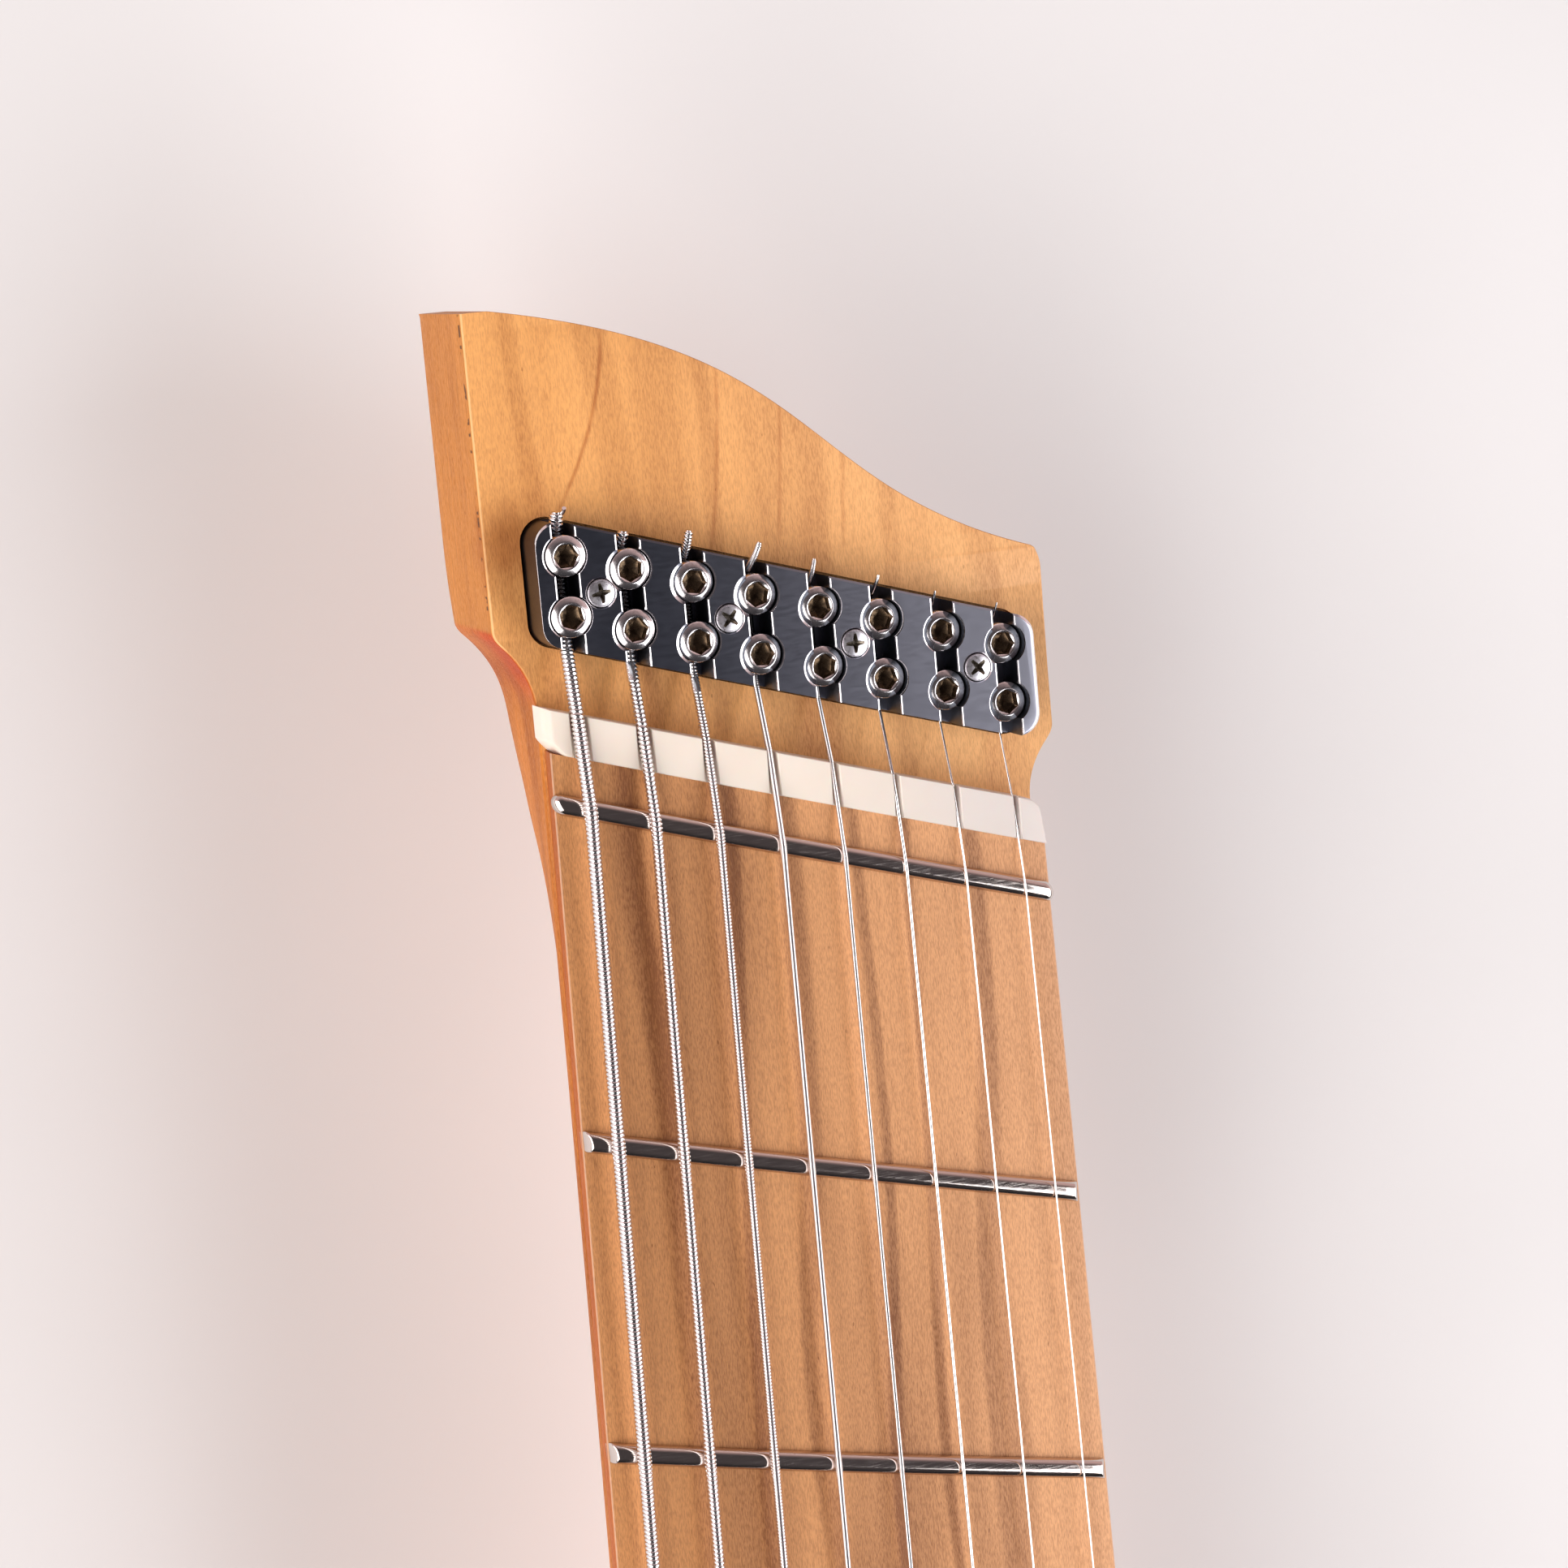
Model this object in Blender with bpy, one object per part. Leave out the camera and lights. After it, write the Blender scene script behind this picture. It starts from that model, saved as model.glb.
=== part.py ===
"""Eight-string headless guitar with fanned frets, modelled as an assembly of separate solids.

The guitar lies on its back. +X runs from the body to the head, +Y to the bass side and +Z away from the
back, through the strings. The origin is on the flat back of the body, on the centre line. Lengths are in
metres. A station is a distance along the centre line from the middle of the zero fret towards the bridge,
so the head has negative stations. Heights called level are counted from the edge of the fingerboard's top
at the zero fret. Strings are counted from 0, the thickest, to 7, the thinnest.
"""
import bmesh
import bpy
import numpy as np
from math import ceil, cos, pi, radians, sin, sqrt

# Clearance between neighbouring pieces, and how far a cutter reaches past the faces that it opens
FIT = 0.0003
CUT_PAST = 0.0010

# Strings, scales and the fan
STRING_DIAMETERS = (0.00165, 0.00137, 0.00107, 0.00081, 0.00061, 0.00041, 0.00028, 0.00023)
SCALE_BASS = 0.686
SCALE_TREBLE = 0.648
ZERO_SKEW = 0.0161
SPREAD_ZERO = 0.0514
SPREAD_BRIDGE = 0.0735
STRING_SIDES = 6

# Fingerboard and frets
FRETS = 24
BOARD_WIDTH_ZERO = 0.0586
BOARD_TAPER = 0.0335
BOARD_EDGE_THICKNESS = 0.0042
BOARD_RADIUS = 0.508
BOARD_SIDE_LEAN = 0.0006
BOARD_AHEAD = 0.0057
BOARD_BEHIND = 0.0080
FRET_WIDTH = 0.0025
FRET_HEIGHT = 0.0012
FRET_END_BEVEL = 0.0008
FRET_SECTION = ((-0.5, 0.0), (-0.33, 0.74), (0.0, 1.0), (0.33, 0.74), (0.5, 0.0))
FRET_END_RISE = 0.3

# Nut
NUT_LENGTH = 0.0050
NUT_TOP_LEVEL = 0.0003
NUT_HALF_WIDTH = 0.0294
NUT_STRING_FRONT = 0.00015
NUT_STRING_REAR = -0.00075
NUT_SLOT_EXTRA = 0.0006
NUT_EDGE = 0.0003

# Head
HEAD_LENGTH = 0.0640
HEAD_BASS_EDGE = 0.0329
HEAD_TREBLE_EDGE = 0.0334
HEAD_THICKNESS = 0.0180
HEAD_EDGE_RADIUS = 0.0015
HEAD_CORNER_RADIUS = 0.0024
HEAD_BASS_SHOULDER = (-0.0287, -0.0212)
HEAD_TREBLE_SHOULDER = (-0.0090, -0.0015)
HEAD_END_BASS_Y = 0.0299
HEAD_END_HANDLES = ((-0.0565, -0.0098), (-0.0402, -0.0038))
HEAD_END_TREBLE_STATION = -0.0306
HEAD_END_STEPS = 60
HEAD_END_SHARES = (0.0, 0.02, 0.06, 0.12, 0.2, 0.3, 0.42, 0.54, 0.66, 0.78, 0.9, 1.0)

# Neck back
NECK_DEPTH_FIRST = 0.0160
NECK_DEPTH_LAST = 0.0180
NECK_ROUND_FROM = -0.0215
NECK_ROUND_TO = 0.0120
HEEL_DEPTH = 0.0187
HEEL_LENGTH = 0.0780
HEEL_BLEND = 0.0340

# String lock block on the head
LOCK_STATION = -0.0251
LOCK_LENGTH = 0.0145
LOCK_OFFSET = -0.0003
LOCK_SPREAD = 0.05126
LOCK_BASS_EDGE = 0.0287
LOCK_TREBLE_EDGE = 0.0297
LOCK_TOP_LEVEL = 0.0012
LOCK_HEIGHT = 0.0068
LOCK_CORNER = 0.0026
LOCK_CHAMFER = 0.0004
LOCK_ROW_SPACING = 0.0068
LOCK_SLOT_WIDTH = 0.0025
LOCK_SLOT_DEPTH = 0.0046
LOCK_HOLE_ABOVE_FLOOR = 0.0004
LOCK_TAIL = 0.0022
LOCK_SCREW_DIAMETER = 0.0047
LOCK_SCREW_KEY = 0.0025
LOCK_SCREW_KEY_DEPTH = 0.0014
LOCK_SCREW_LENGTH = 0.00255
LOCK_SCREW_CHAMFER = 0.0004
HOLD_SCREW_DIAMETER = 0.0034
HOLD_SCREW_SHANK = 0.0016
HOLD_SCREW_LENGTH = 0.0125
HOLD_SCREW_HEAD = 0.0011

# Body
BODY_LENGTH = 0.3840
BODY_WIDTH = 0.3020
BODY_BEHIND_BRIDGE = 0.0840
BODY_THICKNESS = 0.0430
BOARD_ABOVE_BODY = 0.0070
BODY_BACK_ROUND = 0.0030
BODY_TOP_ROUND = 0.0055
ROUND_MIDDLE = 0.3
OUTLINE_STEPS = 3

# Bridge
BRIDGE_X = -0.1070
BRIDGE_FRONT = 0.0090
BRIDGE_LENGTH = 0.0405
BRIDGE_FLOOR = 0.0030
BRIDGE_WALL = 0.0018
BRIDGE_END_WALL = 0.0035
BRIDGE_CORNER = 0.0015
SADDLE_LEVEL = 0.0033
SADDLE_LENGTH = 0.0050
SADDLE_CREST = 0.0010
SADDLE_DROP = 0.0030
SADDLE_ROUND = 0.0002
WALL_ABOVE_SADDLE = 0.0002
CARRIAGE_FRONT = 0.0090
CARRIAGE_LENGTH = 0.0120
CARRIAGE_HEIGHT = 0.0068
CARRIAGE_SLOT_WIDTH = 0.0026
CARRIAGE_SLOT_LENGTH = 0.0085
CARRIAGE_SLOT_DEPTH = 0.0025
CARRIAGE_CHAMFER = 0.0007
CARRIAGE_TRAVEL = 0.0035
TUNER_AXIS_ABOVE_BODY = 0.0059
TUNER_SHAFT = 0.0026
TUNER_SHAFT_SPARE = 0.0010
TUNER_KNOB_DIAMETER = 0.0092
TUNER_KNOB_LENGTH = 0.0125
TUNER_KNOB_EDGE = 0.0008
TUNER_COLLAR = 0.0050
TUNER_GROOVES = 9
TUNER_GROOVE_DEPTH = 0.0005

# Scoop under the tuner knobs
SCOOP_DEPTH = 0.0075
SCOOP_MARGIN = 0.0060
SCOOP_UNDER_BRIDGE = 0.0010
SCOOP_PAST_TAIL = 0.0100

# Pickups
PICKUP_LENGTH = 0.1010
PICKUP_WIDTH = 0.0380
PICKUP_HEIGHT = 0.0190
PICKUP_ABOVE_BODY = 0.0060
PICKUP_CORNER = 0.0040
PICKUP_EDGE = 0.0010
PICKUP_GAP = 0.0008
NECK_PICKUP_BEHIND_BOARD = 0.0040
BRIDGE_PICKUP_AHEAD = 0.0160

# Controls: the cavity's middle is a place on the body as drawn below, and the controls stand round it
CAVITY_MIDDLE = (-0.0715, -0.0925)
CAVITY_LENGTH = 0.1230
CAVITY_WIDTH = 0.0450
VOLUME_FROM_MIDDLE = (0.0065, -0.0035)
TONE_FROM_MIDDLE = (-0.0335, -0.0075)
SELECTOR_FROM_MIDDLE = (0.0415, 0.0025)
CAVITY_ROOF = 0.0075
CAVITY_CORNER = 0.0090
COVER_LIP = 0.0055
COVER_THICKNESS = 0.0022
COVER_RECESS = 0.0004
KNOB_DIAMETER = 0.0190
KNOB_HEIGHT = 0.0160
KNOB_TAPER = 0.0009
KNOB_EDGE = 0.0010
KNOB_SHAFT = 0.0038
KNOB_SHAFT_BELOW_ROOF = 0.0030
KNOB_ABOVE_BODY = 0.0004
POT_DIAMETER = 0.0170
POT_HEIGHT = 0.0085
POT_BUSHING = 0.0068
CIRCUIT_THICKNESS = 0.0016
CIRCUIT_MARGIN = 0.0060
LEVER_WIDTH = 0.0042
LEVER_THICKNESS = 0.0012
LEVER_PIVOT_BELOW_TOP = 0.0125
LEVER_ABOVE_TOP = 0.0060
LEVER_TIP_DIAMETER = 0.0080
LEVER_TIP_HEIGHT = 0.0095
LEVER_TIP_FOOT = 0.00576
LEVER_TIP_TOP = 0.0056
LEVER_TIP_EDGE = 0.0006
LEVER_TIP_BELT = 0.0020
LEVER_INTO_TIP = 0.0020
LEVER_TAPER = 0.8
LEVER_SWING = radians(20.0)
LEVER_SLOT_STEP = 0.0005
LEVER_SLOT_SPARE = 0.0010
SWITCH_LENGTH = 0.0300
SWITCH_WIDTH = 0.0100

# Output jack and strap buttons. The buttons' seats are places on the body as drawn below
JACK_FROM_MIDDLE = -0.0035
JACK_SEAT_BEHIND_CAVITY = 0.0290
JACK_HEIGHT = 0.0215
JACK_FLANGE = 0.0206
JACK_FLANGE_THICKNESS = 0.0018
JACK_SLEEVE = 0.0120
JACK_LENGTH = 0.0255
JACK_BORE = 0.0066
JACK_EDGE = 0.0004
JACK_END_WALL = 0.0010
BUTTON_HEIGHT = 0.0215
BUTTON_HORN = (0.1885, 0.1060)
BUTTON_TAIL = (-0.1845, 0.0640)
BUTTON_LENGTH = 0.0105
BUTTON_DIAMETER = 0.0140
BUTTON_WAIST = 0.0062
BUTTON_SCREW = 0.0030
BUTTON_SCREW_LENGTH = 0.0140
BUTTON_FOOT = 0.0092
BUTTON_FOOT_HEIGHT = 0.0025
BUTTON_HEAD_FLARE = 0.0020
BUTTON_HEAD_THICKNESS = 0.0022
BUTTON_EDGE = 0.0008
BUTTON_SEAT = 0.0110
BUTTON_SEAT_REACH = 0.0200

# Shape of the body's outline, counter-clockwise seen from the front, from the heel on the bass side. It is
# brought to the body's length and width from the tail and the centre line
BODY_DRAWN = (
    (0.118, 0.036), (0.112, 0.050), (0.124, 0.070), (0.158, 0.086), (0.187, 0.094), (0.193, 0.107),
    (0.176, 0.120), (0.125, 0.127), (0.070, 0.116), (0.015, 0.107), (-0.040, 0.118), (-0.095, 0.136),
    (-0.145, 0.132), (-0.180, 0.100), (-0.191, 0.062), (-0.183, 0.025), (-0.180, -0.020), (-0.184, -0.060),
    (-0.176, -0.106), (-0.152, -0.148), (-0.105, -0.166), (-0.055, -0.153), (-0.010, -0.128),
    (0.035, -0.114), (0.080, -0.117), (0.115, -0.113), (0.126, -0.098), (0.108, -0.080), (0.078, -0.066),
    (0.060, -0.050), (0.062, -0.036), (0.086, -0.010), (0.106, 0.018),
)

# Worked out from the sizes above
STRINGS = len(STRING_DIAMETERS)
ZERO_FRET_X = BRIDGE_X + (SCALE_BASS + SCALE_TREBLE) / 2
EDGE_Z = BODY_THICKNESS + BOARD_ABOVE_BODY
HEAD_FACE_Z = EDGE_Z - BOARD_EDGE_THICKNESS
LOCK_TOP_Z = EDGE_Z + LOCK_TOP_LEVEL
LOCK_BOTTOM_Z = LOCK_TOP_Z - LOCK_HEIGHT
LOCK_FLOOR_Z = LOCK_TOP_Z - LOCK_SLOT_DEPTH
BRIDGE_FLOOR_Z = BODY_THICKNESS + FIT + BRIDGE_FLOOR
TUNER_AXIS_Z = BODY_THICKNESS + TUNER_AXIS_ABOVE_BODY
CAVITY_ROOF_Z = BODY_THICKNESS - CAVITY_ROOF
LEVER_PIVOT_Z = BODY_THICKNESS - LEVER_PIVOT_BELOW_TOP
LOCK_SCREW_HOLE = LOCK_SCREW_DIAMETER + 2 * FIT
BRIDGE_PITCH = SPREAD_BRIDGE / (STRINGS - 1)
BODY_TAIL_X = BRIDGE_X - BODY_BEHIND_BRIDGE

WOOD = (0.66, 0.38, 0.17)
BODY_WOOD = (0.50, 0.29, 0.15)
BLACK = (0.02, 0.02, 0.024)
STEEL = (0.75, 0.75, 0.76)
BONE = (0.88, 0.83, 0.76)


def smooth_step(value, low, high):
    """0 below low, 1 above high, and an even S curve between."""
    share = min(max((value - low) / (high - low), 0.0), 1.0)
    return share * share * (3 - 2 * share)


def material(name, colour, roughness, metallic):
    """A Principled material of one colour."""
    made = bpy.data.materials.new(name)
    made.use_nodes = True
    shader = made.node_tree.nodes["Principled BSDF"]
    shader.inputs["Base Color"].default_value = (*colour, 1.0)
    shader.inputs["Roughness"].default_value = roughness
    shader.inputs["Metallic"].default_value = metallic
    return made


def add_object(name, vertices, faces, origin=(0.0, 0.0, 0.0)):
    """An object from points in world space, with its own origin and its faces turned outwards."""
    mesh = bpy.data.meshes.new(name)
    local = [tuple(np.subtract(vertex, origin)) for vertex in vertices]
    mesh.from_pydata(local, [], faces)
    work = bmesh.new()
    work.from_mesh(mesh)
    bmesh.ops.recalc_face_normals(work, faces=work.faces)
    work.to_mesh(mesh)
    work.free()
    made = bpy.data.objects.new(name, mesh)
    made.location = origin
    bpy.context.scene.collection.objects.link(made)
    return made


def piece(name, shape, finish, origin=(0.0, 0.0, 0.0), smooth=False):
    """A finished sub-part from (vertices, faces), with its own material."""
    made = add_object(name, *shape, origin)
    made.data.materials.append(material(name, *finish))
    if smooth:
        made.data.shade_smooth()
        made.data.set_sharp_from_angle(angle=radians(35))
    return made


def cut(target, name, shape, operation="DIFFERENCE"):
    """Cut shape out of target, or add it, with a Boolean modifier. The cutter stays as a hidden guide."""
    cutter = add_object(name, *shape)
    cutter.hide_render = True
    cutter.display_type = "WIRE"
    boolean = target.modifiers.new(name, "BOOLEAN")
    boolean.operation = operation
    boolean.solver = "EXACT"
    boolean.object = cutter


def loft(rings):
    """A closed solid through rings with the same number of points, capped at both ends."""
    count = len(rings[0])
    vertices = [tuple(point) for ring in rings for point in ring]
    faces = []
    for level in range(len(rings) - 1):
        low = level * count
        high = low + count
        for step in range(count):
            after = (step + 1) % count
            faces.append((low + step, low + after, high + after, high + step))
    faces.append(tuple(reversed(range(count))))
    faces.append(tuple(range(len(vertices) - count, len(vertices))))
    return vertices, faces


def prism(outline, low, high):
    """A flat outline of (x, y) points carried from height low to height high."""
    return loft([[(x, y, z) for x, y in outline] for z in (low, high)])


def lathe(profile, centre, along, segments, radius_at=None):
    """A turned solid. profile has (radius, distance) pairs that start and end on the axis.

    along is the unit direction of the axis. radius_at scales a radius by its angle, for knurls and keys.
    """
    axis = np.array(along, dtype=float)
    side = np.cross(axis, (1.0, 0.0, 0.0) if axis[2] else (0.0, 0.0, 1.0))
    side /= np.linalg.norm(side)
    up = np.cross(axis, side)
    centre = np.array(centre, dtype=float)
    angles = np.arange(segments) * 2 * pi / segments
    vertices = [tuple(centre + axis * profile[0][1])]
    for step, (radius, distance) in enumerate(profile[1:-1], 1):
        for angle in angles:
            length = radius if radius_at is None else radius_at(step, radius, angle)
            vertices.append(tuple(centre + axis * distance + length * (cos(angle) * side + sin(angle) * up)))
    vertices.append(tuple(centre + axis * profile[-1][1]))
    last = len(vertices) - 1
    faces = []
    for step in range(segments):
        after = (step + 1) % segments
        faces.append((0, 1 + after, 1 + step))
        faces.append((last, last - segments + step, last - segments + after))
        for ring in range(len(profile) - 3):
            low = 1 + ring * segments
            high = low + segments
            faces.append((low + step, low + after, high + after, high + step))
    return vertices, faces


def joined(shapes):
    """Several separate closed shapes as one list, for a cutter with many teeth."""
    vertices = []
    faces = []
    for shape_vertices, shape_faces in shapes:
        offset = len(vertices)
        vertices.extend(shape_vertices)
        faces.extend(tuple(offset + index for index in face) for face in shape_faces)
    return vertices, faces


def rounded(corners, radius, steps=4):
    """The outline through corners with each corner turned to an arc of the radius."""
    points = []
    count = len(corners)
    for index in range(count):
        corner = np.array(corners[index], dtype=float)
        before = np.array(corners[index - 1], dtype=float) - corner
        after = np.array(corners[(index + 1) % count], dtype=float) - corner
        before /= np.linalg.norm(before)
        after /= np.linalg.norm(after)
        half = np.arccos(np.clip(np.dot(before, after), -1, 1)) / 2
        middle = (before + after) / np.linalg.norm(before + after)
        centre = corner + middle * radius / sin(half)
        start = corner + before * radius / np.tan(half) - centre
        end = corner + after * radius / np.tan(half) - centre
        sweep = np.arctan2(start[0] * end[1] - start[1] * end[0], np.dot(start, end))
        for step in range(steps + 1):
            turn = sweep * step / steps
            points.append((centre[0] + start[0] * cos(turn) - start[1] * sin(turn),
                           centre[1] + start[0] * sin(turn) + start[1] * cos(turn)))
    return points


def smooth_outline(points, steps):
    """A closed Catmull-Rom curve through the points."""
    curve = []
    count = len(points)
    for index in range(count):
        p0, p1, p2, p3 = (np.array(points[(index + shift) % count]) for shift in (-1, 0, 1, 2))
        for step in range(steps):
            t = step / steps
            curve.append(tuple(0.5 * (2 * p1 + (p2 - p0) * t + (2 * p0 - 5 * p1 + 4 * p2 - p3) * t * t
                                      + (3 * p1 - p0 - 3 * p2 + p3) * t ** 3)))
    return curve


def inset(outline, distance):
    """The counter-clockwise outline moved inwards along its normals."""
    path = np.array(outline)
    tangent = np.roll(path, -1, axis=0) - np.roll(path, 1, axis=0)
    tangent /= np.linalg.norm(tangent, axis=1)[:, None]
    return path + distance * np.stack([-tangent[:, 1], tangent[:, 0]], axis=1)


def string_share(string):
    """0 at the thickest string, 1 at the thinnest."""
    return string / (STRINGS - 1)


def zero_station(string):
    return ZERO_SKEW * (string_share(string) - 0.5)


def saddle_station(string):
    return zero_station(string) + SCALE_BASS + (SCALE_TREBLE - SCALE_BASS) * string_share(string)


def spread_y(string, spread):
    return spread * (0.5 - string_share(string))


def crown(y):
    """Height of the fingerboard's round top over its edge at the zero fret."""
    return ((BOARD_WIDTH_ZERO / 2) ** 2 - y * y) / (2 * BOARD_RADIUS)


def string_y(string, station):
    """Where a string lies across the neck, on its straight run from the zero fret to its saddle."""
    start = spread_y(string, SPREAD_ZERO)
    end = spread_y(string, SPREAD_BRIDGE)
    share = (station - zero_station(string)) / (saddle_station(string) - zero_station(string))
    return start + (end - start) * share


def fan_line(number):
    """Centre station and slope (station per y) of the line of one fret."""
    ends = []
    for string in (0, STRINGS - 1):
        scale = saddle_station(string) - zero_station(string)
        station = zero_station(string) + scale * (1 - 2 ** (-number / 12))
        ends.append((station, string_y(string, station)))
    slope = (ends[0][0] - ends[1][0]) / (ends[0][1] - ends[1][1])
    return ends[0][0] - slope * ends[0][1], slope


def saddle_line():
    """Centre station and slope of the line of the saddles."""
    slope = (saddle_station(0) - saddle_station(STRINGS - 1)) / SPREAD_BRIDGE
    return saddle_station(0) - slope * SPREAD_BRIDGE / 2, slope


def board_half(station):
    return (BOARD_WIDTH_ZERO + BOARD_TAPER * station) / 2


def board_edges(centre, slope):
    """y of the bass and treble edges of the board along a fan line."""
    half = board_half(centre)
    lean = BOARD_TAPER / 2 * slope
    return half / (1 - lean), -half / (1 + lean)


def at(station, y, z):
    """World point for a station, an offset across the neck and a height."""
    return (ZERO_FRET_X - station, y, z)


def build_fretboard():
    """The board with its zero fret and numbered frets: rings across the board along every fan line."""
    _, zero_slope = fan_line(0)
    last_centre, last_slope = fan_line(FRETS)
    lines = [(-BOARD_AHEAD + FIT, zero_slope, 0.0)]
    for number in range(FRETS + 1):
        centre, slope = fan_line(number)
        for share, height in FRET_SECTION:
            lines.append((centre + share * FRET_WIDTH, slope, height * FRET_HEIGHT))
    lines.append((last_centre + BOARD_BEHIND, last_slope, 0.0))
    bottom = HEAD_FACE_Z + FIT
    rings = []
    for centre, slope, lift in lines:
        bass, treble = board_edges(centre, slope)
        across = (bass, bass - FRET_END_BEVEL, bass / 2, 0.0, treble / 2, treble + FRET_END_BEVEL, treble)
        rise = (FRET_END_RISE, 1.0, 1.0, 1.0, 1.0, 1.0, FRET_END_RISE)
        ring = [at(centre + slope * y, y, EDGE_Z + crown(y) + lift * share) for y, share in zip(across, rise)]
        for y in (treble + BOARD_SIDE_LEAN, bass - BOARD_SIDE_LEAN):
            ring.append(at(centre + slope * y, y, bottom))
        rings.append(ring)
    piece("fretboard", loft(rings), (WOOD, 0.4, 0.0))


def head_end_y(station):
    """Treble limit of the head's curved end, a Bezier curve from the bass corner to the treble corner."""
    ends = ((-HEAD_LENGTH, HEAD_END_BASS_Y), *HEAD_END_HANDLES, (HEAD_END_TREBLE_STATION, -HEAD_TREBLE_EDGE))
    t = np.linspace(0, 1, HEAD_END_STEPS)[:, None]
    p0, p1, p2, p3 = (np.array(point) for point in ends)
    curve = (1 - t) ** 3 * p0 + 3 * (1 - t) ** 2 * t * p1 + 3 * (1 - t) * t * t * p2 + t ** 3 * p3
    limit = float(np.interp(station, curve[:, 0], curve[:, 1]))
    # The treble corner is eased by a parabola as long as the corner's diameter
    ahead = HEAD_END_TREBLE_STATION + HEAD_CORNER_RADIUS - station
    if 0 < ahead < 2 * HEAD_CORNER_RADIUS:
        limit = max(limit, ahead ** 2 / (4 * HEAD_CORNER_RADIUS) - HEAD_TREBLE_EDGE)
    return limit


def neck_edges(station):
    """y of the bass and treble edges of the neck's and head's top face."""
    lean = BOARD_SIDE_LEAN * smooth_step(station, HEAD_BASS_SHOULDER[1], NECK_ROUND_TO)
    neck = board_half(station) - lean
    bass = HEAD_BASS_EDGE + (neck - HEAD_BASS_EDGE) * smooth_step(station, *HEAD_BASS_SHOULDER)
    treble = HEAD_TREBLE_EDGE + (neck - HEAD_TREBLE_EDGE) * smooth_step(station, *HEAD_TREBLE_SHOULDER)
    if station < HEAD_END_TREBLE_STATION + HEAD_CORNER_RADIUS:
        return bass, head_end_y(station)
    return bass, -treble


def neck_end_line():
    """The neck ends under the end of the fingerboard, on the same line."""
    centre, slope = fan_line(FRETS)
    return centre + BOARD_BEHIND, slope


def neck_profile(half, depth, square):
    """Section of the neck from its bass edge round the back: a half ellipse that turns to a square."""
    corner = min(HEAD_EDGE_RADIUS, 0.45 * half)
    side = depth - corner
    diagonal = corner * (1 - sqrt(0.5))
    quarter = ((half, 0.0), (half, 0.35 * side), (half, 0.7 * side), (half, side),
               (half - diagonal, depth - diagonal), (half - corner, depth), (0.5 * (half - corner), depth))
    mirrored = [(-y, z) for y, z in reversed(quarter)]
    boxed = (*quarter, (0.0, depth), *mirrored)
    points = []
    for step, (box_y, box_z) in enumerate(boxed):
        turn = pi * step / (len(boxed) - 1)
        points.append((box_y * square + half * cos(turn) * (1 - square),
                       box_z * square + depth * sin(turn) * (1 - square)))
    return points


def neck_stations():
    """Stations of the neck's sections: close together round the head's curves, wide apart on the neck."""
    end, _ = neck_end_line()
    heel = end - HEEL_LENGTH
    head_end = -HEAD_LENGTH + (HEAD_LENGTH + HEAD_END_TREBLE_STATION) * np.array(HEAD_END_SHARES)
    corner = HEAD_END_TREBLE_STATION + HEAD_CORNER_RADIUS * np.array((0.4, 1.0))
    bass_shoulder = np.linspace(*HEAD_BASS_SHOULDER, 6)
    treble_shoulder = np.linspace(*HEAD_TREBLE_SHOULDER, 6)
    blend = np.linspace(treble_shoulder[-1], NECK_ROUND_TO + 0.012, 5)[1:]
    run = np.linspace(blend[-1], heel - HEEL_BLEND, 6)[1:]
    into_heel = np.linspace(run[-1], heel, 5)[1:]
    stations = np.concatenate([head_end, corner, bass_shoulder, treble_shoulder, blend, run, into_heel])
    return sorted(set(np.round(stations, 6).tolist())), end, heel


def build_neck():
    """Neck, heel and head in one piece of wood, with the pocket and the screw holes for the lock block."""
    stations, end, heel = neck_stations()
    first_fret, _ = fan_line(1)
    rings = []
    for station in (*stations, end):
        bass, treble = neck_edges(station)
        middle = (bass + treble) / 2
        half = (bass - treble) / 2
        square = 1 - smooth_step(station, NECK_ROUND_FROM, NECK_ROUND_TO) * (
            1 - smooth_step(station, heel - HEEL_BLEND, heel))
        along = min(max((station - first_fret) / (heel - first_fret), 0.0), 1.0)
        depth = NECK_DEPTH_FIRST + (NECK_DEPTH_LAST - NECK_DEPTH_FIRST) * along
        depth += (HEAD_THICKNESS - depth) * (1 - smooth_step(station, NECK_ROUND_FROM, first_fret))
        depth += (HEEL_DEPTH - depth) * smooth_step(station, heel - HEEL_BLEND, heel)
        skew = neck_end_line()[1] if station == end else 0.0
        rings.append([at(station + skew * y, middle + y, HEAD_FACE_Z - z)
                      for y, z in neck_profile(half, depth, square)])
    neck = piece("neck", loft(rings), (WOOD, 0.45, 0.0), smooth=True)
    cut(neck, "cut_lock_pocket", prism(lock_outline(FIT), LOCK_BOTTOM_Z - FIT, EDGE_Z))
    holes = [lathe(((0, -HOLD_SCREW_LENGTH - FIT), (HOLD_SCREW_SHANK / 2 + FIT, -HOLD_SCREW_LENGTH - FIT),
                    (HOLD_SCREW_SHANK / 2 + FIT, 0), (0, 0)), place, (0, 0, 1), 8)
             for place in hold_screw_places()]
    cut(neck, "cut_hold_screws", joined(holes))


def lock_station(y, row):
    """Station on the slanted lock block: row is -0.5 at its head side, 0.5 at its body side."""
    return LOCK_STATION + row * LOCK_LENGTH + fan_line(0)[1] * (y - LOCK_OFFSET)


def lock_outline(grow, corner=LOCK_CORNER):
    """Plan of the lock block: two long sides parallel to the zero fret, short ends along the neck."""
    extra = grow / LOCK_LENGTH
    corners = []
    for y, row in ((LOCK_BASS_EDGE + grow, -0.5 - extra), (-LOCK_TREBLE_EDGE - grow, -0.5 - extra),
                   (-LOCK_TREBLE_EDGE - grow, 0.5 + extra), (LOCK_BASS_EDGE + grow, 0.5 + extra)):
        corners.append(at(lock_station(y, row), y, 0.0)[:2])
    return rounded(corners, corner + grow)


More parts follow.
